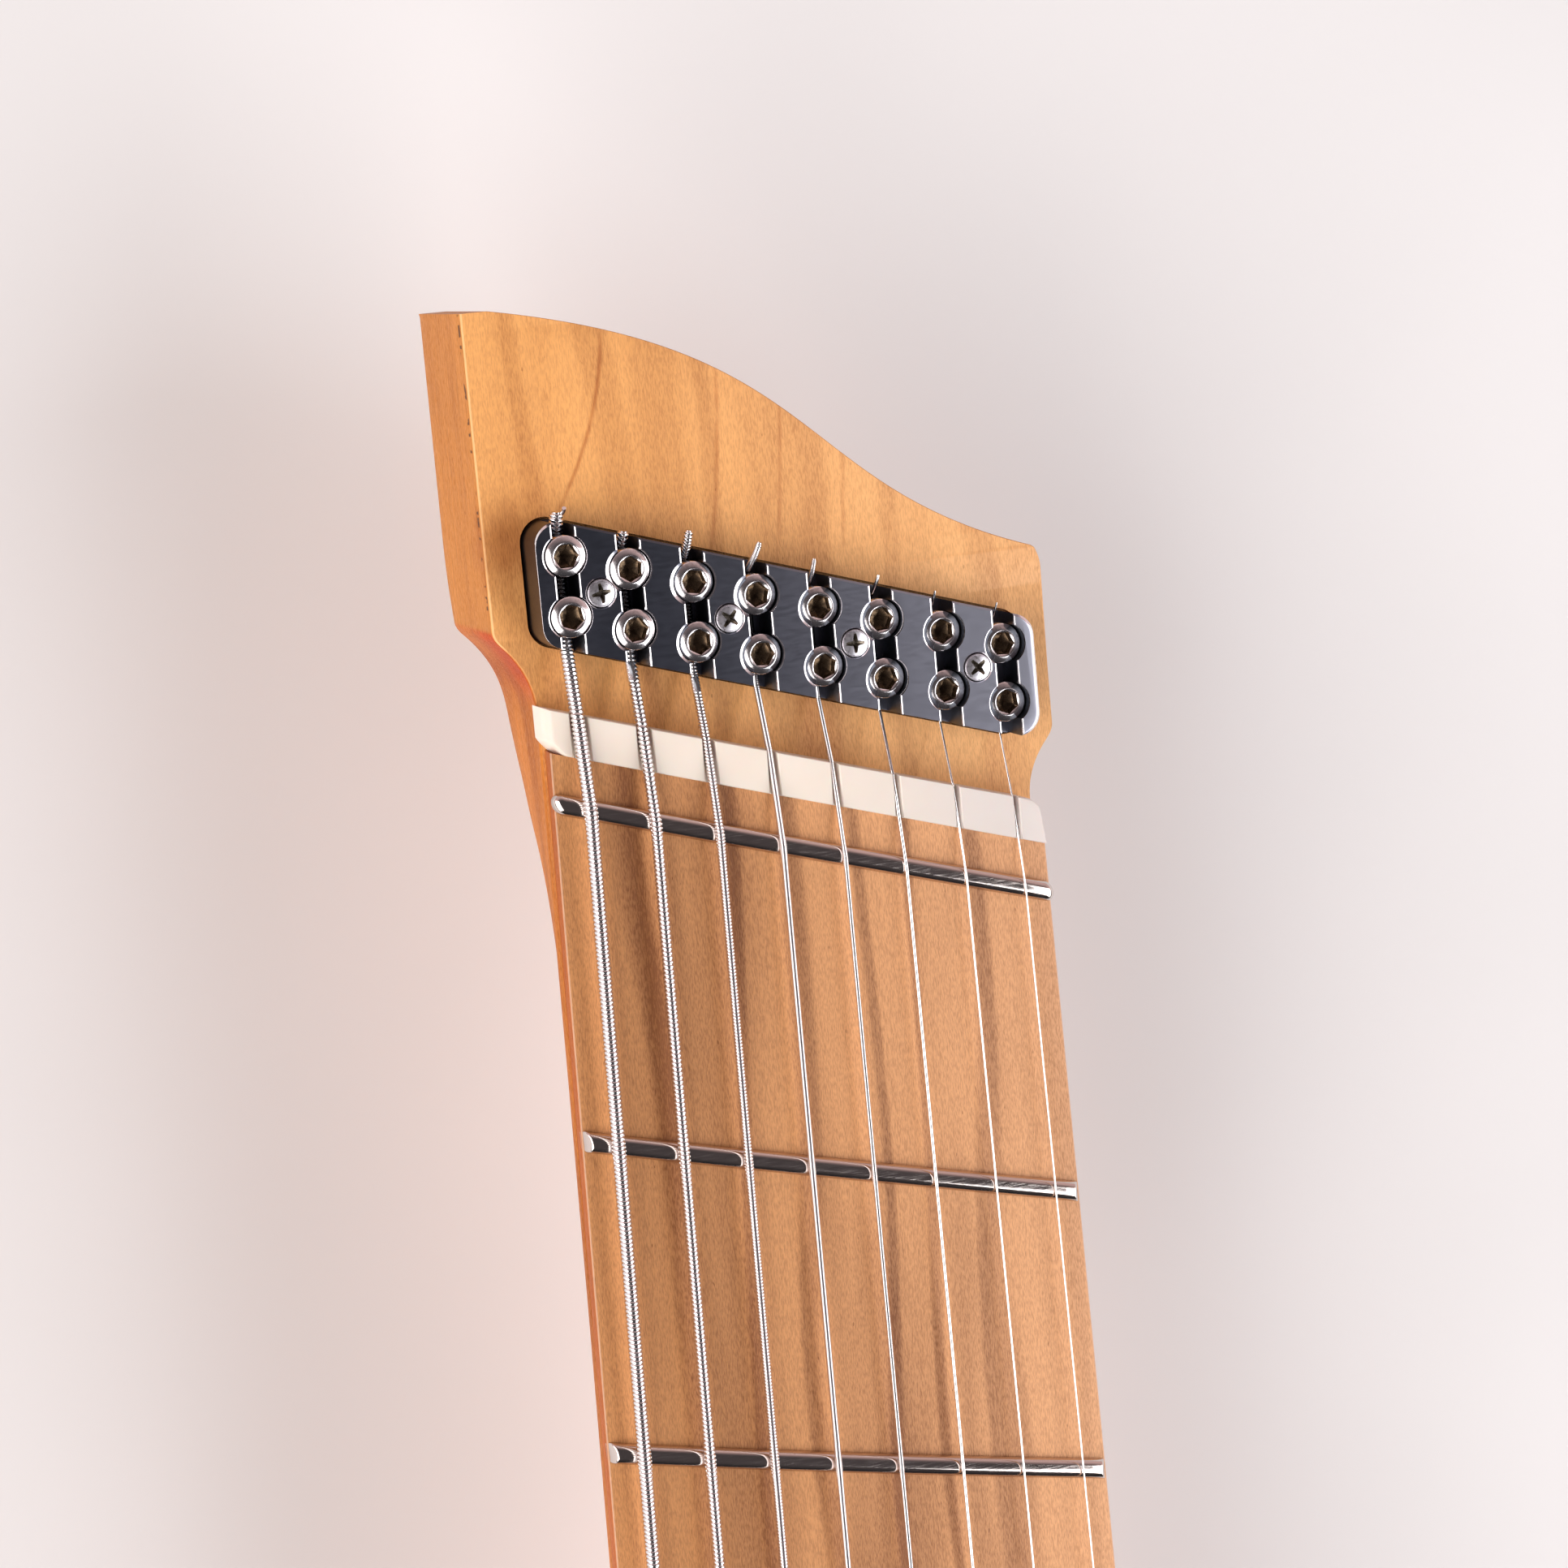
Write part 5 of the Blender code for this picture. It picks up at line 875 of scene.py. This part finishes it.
def key_socket(turn):
    """Radius and height of a ring by angle. The key's hexagon is flats/2 / cos(angle to the nearest flat's
    middle), and the cone of the mouth cuts it lower where it is narrower."""
    def shape(step, radius, angle):
        hexagon = KEY_FLATS / 2 / np.cos((angle + turn) % (pi / 3) - pi / 6)
        if step == KEY_RINGS[0]:
            return hexagon, (hexagon - CLAMP_RING[-1][0]) * KEY_MOUTH
        return (hexagon if step == KEY_RINGS[1] else np.full(len(angle), float(radius))), 0 * angle
    return shape


chrome, chrome_tree, chrome_shader = finish("bright_chrome", 0.1, 1.0)
chrome_place = shader_node(chrome_tree, "TexCoord").outputs["Object"]
chrome_speck = noise(chrome_tree, chrome_place, (2600, 2600, 2600), 3.0)
chrome_tree.links.new(mixed(chrome_tree, between(chrome_tree, chrome_speck, 0.40, 0.72), (0.80, 0.76, 0.77, 1),
                            (0.62, 0.57, 0.57, 1)), chrome_shader.inputs["Base Color"])
chrome_tree.links.new(between(chrome_tree, chrome_speck, 0.3, 0.7, 0.13, 0.22), chrome_shader.inputs["Roughness"])
# Painted shade: the key socket's walls are painted dark brown, with a little random tone.
shaded_socket, shaded_socket_tree, shaded_socket_shader = finish("shaded_key_socket", 0.3, 0.85)
shaded_socket_place = shader_node(shaded_socket_tree, "TexCoord").outputs["Object"]
shaded_socket_cloud = between(shaded_socket_tree, noise(shaded_socket_tree, shaded_socket_place, (1500, 1500, 1500), 3.0), 0.38, 0.62)
shaded_socket_tree.links.new(mixed(shaded_socket_tree, shaded_socket_cloud, KEY_DARK, KEY_WORN), shaded_socket_shader.inputs["Base Color"])
shaded_socket_tree.links.new(between(shaded_socket_tree, shaded_socket_cloud, 0.0, 1.0, 0.38, 0.24), shaded_socket_shader.inputs["Roughness"])
# Painted glint: the floor of the key socket is painted a brighter gold-brown.
glint_floor, glint_floor_tree, glint_floor_shader = finish("key_floor_glint", 0.3, 1.0)
glint_floor_place = shader_node(glint_floor_tree, "TexCoord").outputs["Object"]
glint_floor_cloud = between(glint_floor_tree, noise(glint_floor_tree, glint_floor_place, (2200, 2200, 2200), 3.0), 0.40, 0.60)
glint_floor_tree.links.new(mixed(glint_floor_tree, glint_floor_cloud, KEY_WORN, KEY_GLINT), glint_floor_shader.inputs["Base Color"])
glint_floor_tree.links.new(between(glint_floor_tree, glint_floor_cloud, 0.0, 1.0, 0.42, 0.30), glint_floor_shader.inputs["Roughness"])
clamp_half = CLAMP_DIAMETER / 2
cone_in, cone_fall, cone_power = CLAMP_CONE
clamp_profile = [(0, -CLAMP_LENGTH), (clamp_half - 0.0002, -CLAMP_LENGTH), (clamp_half, -CLAMP_LENGTH + 0.0002)]
for share in (1.0, 0.985, 0.96, 0.92, 0.75, 0.5, 0.25, 0.10, 0.04, 0.0):
    edge = 0.00005 * (1 - (1 - share) / 0.08) ** 2 if share > 0.92 else 0.0
    clamp_profile.append((cone_in + (clamp_half - cone_in) * share, -cone_fall * share ** cone_power - edge))
clamp_profile += list(CLAMP_RING)
key_top = -(CLAMP_RING[-1][0] - KEY_FLATS / 2) * KEY_MOUTH
clamp_profile += [(KEY_FLATS / 2, CLAMP_RING[-1][1]), (KEY_FLATS / 2, -KEY_DEPTH), (0, -KEY_DEPTH - KEY_CONE)]
KEY_RINGS = (len(clamp_profile) - 3, len(clamp_profile) - 2)
for row_name, row in (("head_side", -0.5), ("nut_side", 0.5)):
    for string in range(STRINGS):
        name = f"lock_screw_{row_name}_{STRINGS - string}"
        key_turn = (string * 0.61 + (0.35 if row > 0 else 0.0)) % (pi / 3)
        x, y = lock_point(string, row)
        tip = LOCK_TOP_Z - SLOT_DEPTH + 2 * CLAMP_ON_STRING + STRING_DIAMETERS[string]
        tip += CLAMP_SINK * (STRING_DIAMETERS[0] - STRING_DIAMETERS[string])
        top = tip + CLAMP_LENGTH
        screw = turned(name + "_bright", clamp_profile, (x, y, top), around=72, shape=key_socket(key_turn),
                       sharp=28)
        fit(screw, chrome, [name], name)
        repaint(screw, shaded_socket, lambda at: (np.hypot(at[:, 0] - x, at[:, 1] - y) < 0.00143) & (at[:, 2] < top - 0.0002)
                & (at[:, 2] > tip + 0.0002))
        repaint(screw, glint_floor, lambda at: (np.hypot(at[:, 0] - x, at[:, 1] - y) < KEY_FLATS / 3)
                & (at[:, 2] < top - KEY_DEPTH) & (at[:, 2] > tip + 0.0002))

# Four countersunk cross-head screws hold the block down in its pocket. Their heads are slightly domed with
# a turned rim, and the cross is a tapered recess with four arms.
CROSS_TOP = (0.00122, 0.00030, 0.00016)
CROSS_FLOOR = (0.00036, 0.00014, 0.00008)
CROSS_DEPTH = 0.0007
HOLD_DOME = 0.00026
CROSS_DARK = (0.17, 0.145, 0.115, 1.0)
CROSS_WORN = (0.34, 0.30, 0.25, 1.0)


def cross_outline(arm, half, tip, turn):
    """Twelve corners of a cross with four arms of a length, narrowing from a half width to that of the tip."""
    corner = np.array([(arm, tip), (half, half), (tip, arm)])
    quarter = [corner @ np.array([[cos(t), sin(t)], [-sin(t), cos(t)]]) for t in turn + np.arange(4) * pi / 2]
    return np.concatenate(quarter)


silver, silver_tree, silver_shader = finish("plated_screw", 0.2, 1.0, Base_Color=(0.86, 0.82, 0.86, 1.0))
silver_place = shader_node(silver_tree, "TexCoord").outputs["Object"]
silver_rub = noise(silver_tree, silver_place, (2200, 2200, 2200), 3.0)
silver_tree.links.new(between(silver_tree, silver_rub, 0.3, 0.7, 0.26, 0.36), silver_shader.inputs["Roughness"])
# Painted shade: the cross recess is painted a darker brownish grey, with a little random tone.
shaded_cross, shaded_cross_tree, shaded_cross_shader = finish("shaded_cross_recess", 0.35, 0.9)
shaded_cross_place = shader_node(shaded_cross_tree, "TexCoord").outputs["Object"]
shaded_cross_cloud = between(shaded_cross_tree, noise(shaded_cross_tree, shaded_cross_place, (3200, 3200, 3200), 3.0), 0.35, 0.65)
shaded_cross_tree.links.new(mixed(shaded_cross_tree, shaded_cross_cloud, CROSS_DARK, CROSS_WORN), shaded_cross_shader.inputs["Base Color"])
shaded_cross_tree.links.new(between(shaded_cross_tree, shaded_cross_cloud, 0.0, 1.0, 0.40, 0.25), shaded_cross_shader.inputs["Roughness"])
for number in range(STRINGS // 2):
    x, y = hold_point(number)
    radius = HOLD_DIAMETER / 2
    hold_turn = 0.15 + 0.7 * number
    hold_profile = [(0, -0.0012), (radius - 0.0001, -0.0012), (radius, -0.00016), (radius - 0.00004, -0.00004),
                    (radius - 0.00011, -0.00001), (radius - 0.00017, -0.00005)]
    hold_profile += [(radius * share, HOLD_DOME * (1 - share ** 2.2)) for share in np.linspace(0.86, 0.0, 12)]
    hold = turned(f"headpiece_screw_{number + 1}_bright", hold_profile, (x, y, LOCK_TOP_Z), around=64, sharp=50)
    levels = (HOLD_DOME + 0.0002, HOLD_DOME, -CROSS_DEPTH)
    sizes = (CROSS_TOP, CROSS_TOP, CROSS_FLOOR)
    cross = [np.column_stack([cross_outline(*size, hold_turn) + (x, y), np.full(12, LOCK_TOP_Z + level)])
             for size, level in zip(sizes, levels)]
    carve(hold, closed_shell(f"cross_cutter_{number}", np.array(cross)), sharp=28)
    fit(hold, silver, [f"headpiece_screw_{number + 1}"])

    def in_cross(at):
        away = np.hypot(at[:, 0] - x, at[:, 1] - y) / radius
        return (at[:, 2] - LOCK_TOP_Z < HOLD_DOME * (1 - away ** 2.2) - 0.00006) & (away < 0.76) & (
            at[:, 2] > LOCK_TOP_Z - 0.0010)

    repaint(hold, shaded_cross, in_cross)

# Strings: the five thick ones are a core wound with round wire, the three thin ones plain steel. Each
# runs from its cut tail through the lock, the nut and over the zero fret to its saddle and carriage.
STRING_PITCH = (0.00049, 0.00051, 0.00039, 0.00023, 0.00016, 0.0, 0.0, 0.0)
WRAP_STEPS = (10, 10, 9, 7, 6)
WRAP_AROUND = (18, 16, 14, 12, 10)
LOCK_TAIL = (0.00095, 0.00037, 0.0019, 0.0020, 0.0016, 0.00115, 0.0007, 0.0008)
TAIL_RISE = (0.0009, 0.0015, 0.0022, 0.0032, 0.0021, 0.0024, 0.0013, 0.0017)
TAIL_SIDE = (-0.0001, -0.0002, -0.0003, -0.0009, -0.0003, -0.00045, -0.0003, -0.0003)
TAIL_BEND = 0.0017
WRAP_END = ((0.0004, -0.0005, 0.0004), (0.0002, 0.0003, 0.0002))
FLAT_SPOTS = {1: (0.0225, 0.0014), 2: (0.0200, 0.0010)}
WOUND_UNTIL = 0.128
FIT = 0.0003
SADDLE_LEVEL = 0.0033
CARRIAGE_FRONT = 0.0090
CARRIAGE_SLOT = 0.0085
CARRIAGE_TRAVEL = 0.0035
CARRIAGE_REST_Z = 0.0430 + FIT + 0.0030 + FIT + 0.0068 - 0.0025


def string_route(string):
    """Points on a string's middle line: cut tail, lock, nut, zero fret, saddle and its end in the carriage."""
    radius = STRING_DIAMETERS[string] / 2
    y = float(lock_y(string))
    nut_y = float(spread_y(string, SPREAD_ZERO)) + STRING_ASIDE
    low = LOCK_TOP_Z - SLOT_DEPTH + FIT + radius
    end_y = float(spread_y(string, SPREAD_BRIDGE))
    saddle = float(saddle_station(string))
    head_side = float(lock_station(y, -0.5))
    nut_start = fan_line(0)[1] * nut_y - BOARD_AHEAD
    zero = float(zero_station(string))
    tail = np.linspace(1, 0, 9)
    tail_station = head_side + TAIL_BEND - (TAIL_BEND + LOCK_TAIL[string]) * tail
    tail_height = low + TAIL_RISE[string] * (1 - (1 - tail) ** 1.7)
    points = list(zip(tail_station, y + TAIL_SIDE[string] * tail ** 1.5, tail_height)) + [
        (float(lock_station(y, 0.5)), y, low),
        (nut_start - NUT_LENGTH, nut_y, float(nut_string_z(string, 1.0))),
        (nut_start, nut_y, float(nut_string_z(string, 0.0))),
        (zero, nut_y, EDGE_Z + FRET_HEIGHT + float(crown(nut_y)) + radius),
        (saddle, end_y, EDGE_Z + SADDLE_LEVEL + float(crown(end_y)) + FIT + radius),
        (saddle + CARRIAGE_FRONT, end_y, CARRIAGE_REST_Z + FIT + radius),
        (saddle + CARRIAGE_FRONT + CARRIAGE_SLOT - CARRIAGE_TRAVEL - 2 * FIT, end_y, CARRIAGE_REST_Z + FIT + radius)]
    return np.array([spots(*point) for point in points])


def string_rings(string):
    """A tube along the route. On a wound string the radius follows the round wrap wire: with f the fraction
    of distance / pitch - angle / 360, it falls short of full by depth times 1 - sqrt(1 - (2f - 1)^2)."""
    route = string_route(string)
    radius = STRING_DIAMETERS[string] / 2
    pitch = STRING_PITCH[string]
    lengths = np.concatenate([[0], np.cumsum(np.linalg.norm(np.diff(route, axis=0), axis=1))])
    total = lengths[-1]
    if pitch:
        near = np.arange(0, WOUND_UNTIL, pitch / WRAP_STEPS[string])
        far = np.linspace(WOUND_UNTIL, total, 240)
    else:
        near = np.linspace(0, 0.06, 160)[:-1]
        far = np.linspace(0.06, total, 60)
    along = np.concatenate([near, far])
    path = np.stack([np.interp(along, lengths, route[:, axis]) for axis in range(3)], axis=1)
    tangent = np.gradient(path, axis=0)
    tangent /= np.linalg.norm(tangent, axis=1)[:, None]
    side = np.cross(tangent, (0.0, 0.0, 1.0))
    side /= np.linalg.norm(side, axis=1)[:, None]
    up = np.cross(side, tangent)
    around = WRAP_AROUND[string] if pitch else 12
    angle = (np.arange(around) * 2 * pi / around)[None, :]
    reach = np.full((len(along), around), radius)
    if pitch:
        part = (along[:, None] / pitch - angle / (2 * pi)) % 1.0
        depth = 0.44 * pitch * (along[:, None] < WOUND_UNTIL)
        reach = radius - depth * (1 - np.sqrt(np.clip(1 - (2 * part - 1) ** 2, 0, 1)))
        if string in FLAT_SPOTS:
            spot, half = FLAT_SPOTS[string]
            station = ZERO_FRET_X - path[:, 0]
            facing = np.cos(angle - radians(62))
            pressed = (1 - smooth(np.abs(station + spot), 0.7 * half, half))[:, None] * (facing > 0.3)
            flat = np.minimum(0.84 * radius / np.maximum(facing, 0.3), radius)
            reach = reach * (1 - pressed) + np.minimum(flat, reach + 0.7 * depth) * pressed
    reach = reach * np.where(along < 0.0002, 0.8, 1.0)[:, None]
    spin = np.cos(angle)[..., None] * side[:, None] + np.sin(angle)[..., None] * up[:, None]
    return path[:, None] + reach[..., None] * spin, along


LOCK_MIDDLE = ZERO_FRET_X - LOCK_STATION + fan_line(0)[1] * LOCK_OFFSET


def string_finish(name, colour, pitch):
    """String metal. On a wound string, fine bands across it at the wire's pitch go on where the wire itself
    is too small to model, from the string's own UV map."""
    metal, tree, shader = finish(name, 0.16, 1.0)
    place = shader_node(tree, "TexCoord").outputs["Object"]
    along = shader_node(tree, "SeparateXYZ", {0: place})
    from_row = count(tree, "MULTIPLY", along.outputs["Y"], fan_line(0)[1])
    from_row = count(tree, "ADD", from_row, along.outputs["X"])
    from_row = count(tree, "ABSOLUTE", count(tree, "SUBTRACT", from_row, LOCK_MIDDLE))
    # Painted shade: within the lock block's slots the strings are painted near black.
    slot_shade = between(tree, from_row, 0.0052, 0.0064, 0.85, 0.0)
    tree.links.new(mixed(tree, slot_shade, colour, (0.06, 0.05, 0.045, 1.0)), shader.inputs["Base Color"])
    tree.links.new(between(tree, noise(tree, place, (1200, 5000, 5000), 2.0), 0.3, 0.7, 0.10, 0.22),
                   shader.inputs["Roughness"])
    if pitch:
        wrap = shader_node(tree, "UVMap", uv_map="wrap").outputs["UV"]
        turns = shader_node(tree, "SeparateXYZ", {0: wrap}).outputs["Y"]
        part = count(tree, "PINGPONG", turns, 0.5)
        bump(tree, shader, between(tree, part, 0.0, 0.4), 0.25 * pitch)
    return metal


for string in range(STRINGS):
    rings, along = string_rings(string)
    wire = closed_shell(f"string_{STRINGS - string}_wire", rings, 75)
    pitch = STRING_PITCH[string]
    if pitch:
        heights = np.empty(len(wire.data.vertices) * 3)
        wire.data.vertices.foreach_get("co", heights)
        turns = (ZERO_FRET_X - heights.reshape(-1, 3)[:, 0]) / pitch
        corner_vertex = np.empty(len(wire.data.loops), dtype=np.int32)
        wire.data.loops.foreach_get("vertex_index", corner_vertex)
        far_share = np.clip(turns * pitch / 0.10 - 0.9, 0, 1)
        layer = wire.data.uv_layers.new(name="wrap")
        layer.data.foreach_set("uv", np.column_stack([0 * turns, turns * (far_share > 0)])[corner_vertex].ravel())
    colour = (0.80, 0.77, 0.77, 1.0) if pitch else (0.86, 0.85, 0.85, 1.0)
    fit(wire, string_finish(f"string_{STRINGS - string}_steel", colour, pitch),
        [f"string_{STRINGS - string}"])


wrap_turn = np.linspace(0, 1, 12)[:, None]
wrap_start = string_route(0)[0] + np.array([-0.0002, -0.0005, 0.0004])
wrap_path = wrap_start + wrap_turn * WRAP_END[0] + wrap_turn ** 2 * WRAP_END[1]
wrap_tangent = np.gradient(wrap_path, axis=0)
wrap_side = np.cross(wrap_tangent, (0.0, 0.0, 1.0))
wrap_side /= np.linalg.norm(wrap_side, axis=1)[:, None]
wrap_up = np.cross(wrap_side, wrap_tangent / np.linalg.norm(wrap_tangent, axis=1)[:, None])
wrap_angle = (np.arange(12) * pi / 6)[None, :, None]
wrap_rings = wrap_path[:, None] + STRING_PITCH[0] / 2 * (np.cos(wrap_angle) * wrap_side[:, None]
                                                       + np.sin(wrap_angle) * wrap_up[:, None])
wrap_end = closed_shell("string_8_wrap_end", wrap_rings, 75)
fit(wrap_end, string_finish("string_8_wrap_steel", (0.80, 0.77, 0.77, 1.0), 0.0), ["string_8"])

# What is kept from the CAD model gets its finish here: the body, the bridge and its moving parts, the
# pickups, the controls and the small hardware, none of which the picture shows.
body_wood, body_tree, body_shader, _ = maple_finish(
    "oiled_body_wood", (0.36, 0.19, 0.085, 1.0), (0.13, 0.055, 0.022, 1.0), 0.014, 4.0, (0.9, 0.8, 0.7, 1.0))


def satin_finish(name, colour, roughness, metallic, grain):
    """A plain finish with fine cloudy wear: colour and roughness vary a little with noise, and a low bump."""
    made, tree, shader = finish(name, roughness, metallic)
    place = shader_node(tree, "TexCoord").outputs["Object"]
    cloud = between(tree, noise(tree, place, (grain, grain, grain), 3.0), 0.3, 0.7)
    worn = tuple(min(1.0, 1.18 * value + 0.004) for value in colour)
    tree.links.new(mixed(tree, cloud, (*colour, 1), (*worn, 1)), shader.inputs["Base Color"])
    tree.links.new(between(tree, cloud, 0, 1, roughness * 0.8, roughness * 1.2), shader.inputs["Roughness"])
    bump(tree, shader, noise(tree, place, (8 * grain, 8 * grain, 8 * grain), 1.0), 0.000008)
    return made


anodised = satin_finish("black_anodised", (0.022, 0.023, 0.026), 0.36, 0.7, 260.0)
plastic = satin_finish("black_plastic", (0.012, 0.012, 0.013), 0.45, 0.0, 420.0)
satin_steel = satin_finish("satin_steel", (0.55, 0.55, 0.56), 0.28, 1.0, 300.0)
circuit_green = satin_finish("circuit_board", (0.02, 0.13, 0.055), 0.4, 0.0, 500.0)
hardware_chrome = satin_finish("hardware_chrome", (0.78, 0.77, 0.78), 0.10, 1.0, 300.0)
KEPT = {"body": body_wood, "bridge_base": anodised, "neck_pickup": plastic, "bridge_pickup": plastic,
        "volume_knob": anodised, "tone_knob": anodised, "selector_lever": plastic,
        "control_circuit": circuit_green, "control_cover": plastic, "output_jack": hardware_chrome,
        "strap_button_horn": hardware_chrome, "strap_button_tail": hardware_chrome}
for string in range(1, STRINGS + 1):
    KEPT[f"tuner_carriage_{string}"] = satin_steel
    KEPT[f"tuner_knob_{string}"] = anodised
for node_name, material in KEPT.items():
    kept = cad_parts[node_name]
    for material_slot in kept.material_slots:
        material_slot.material = material
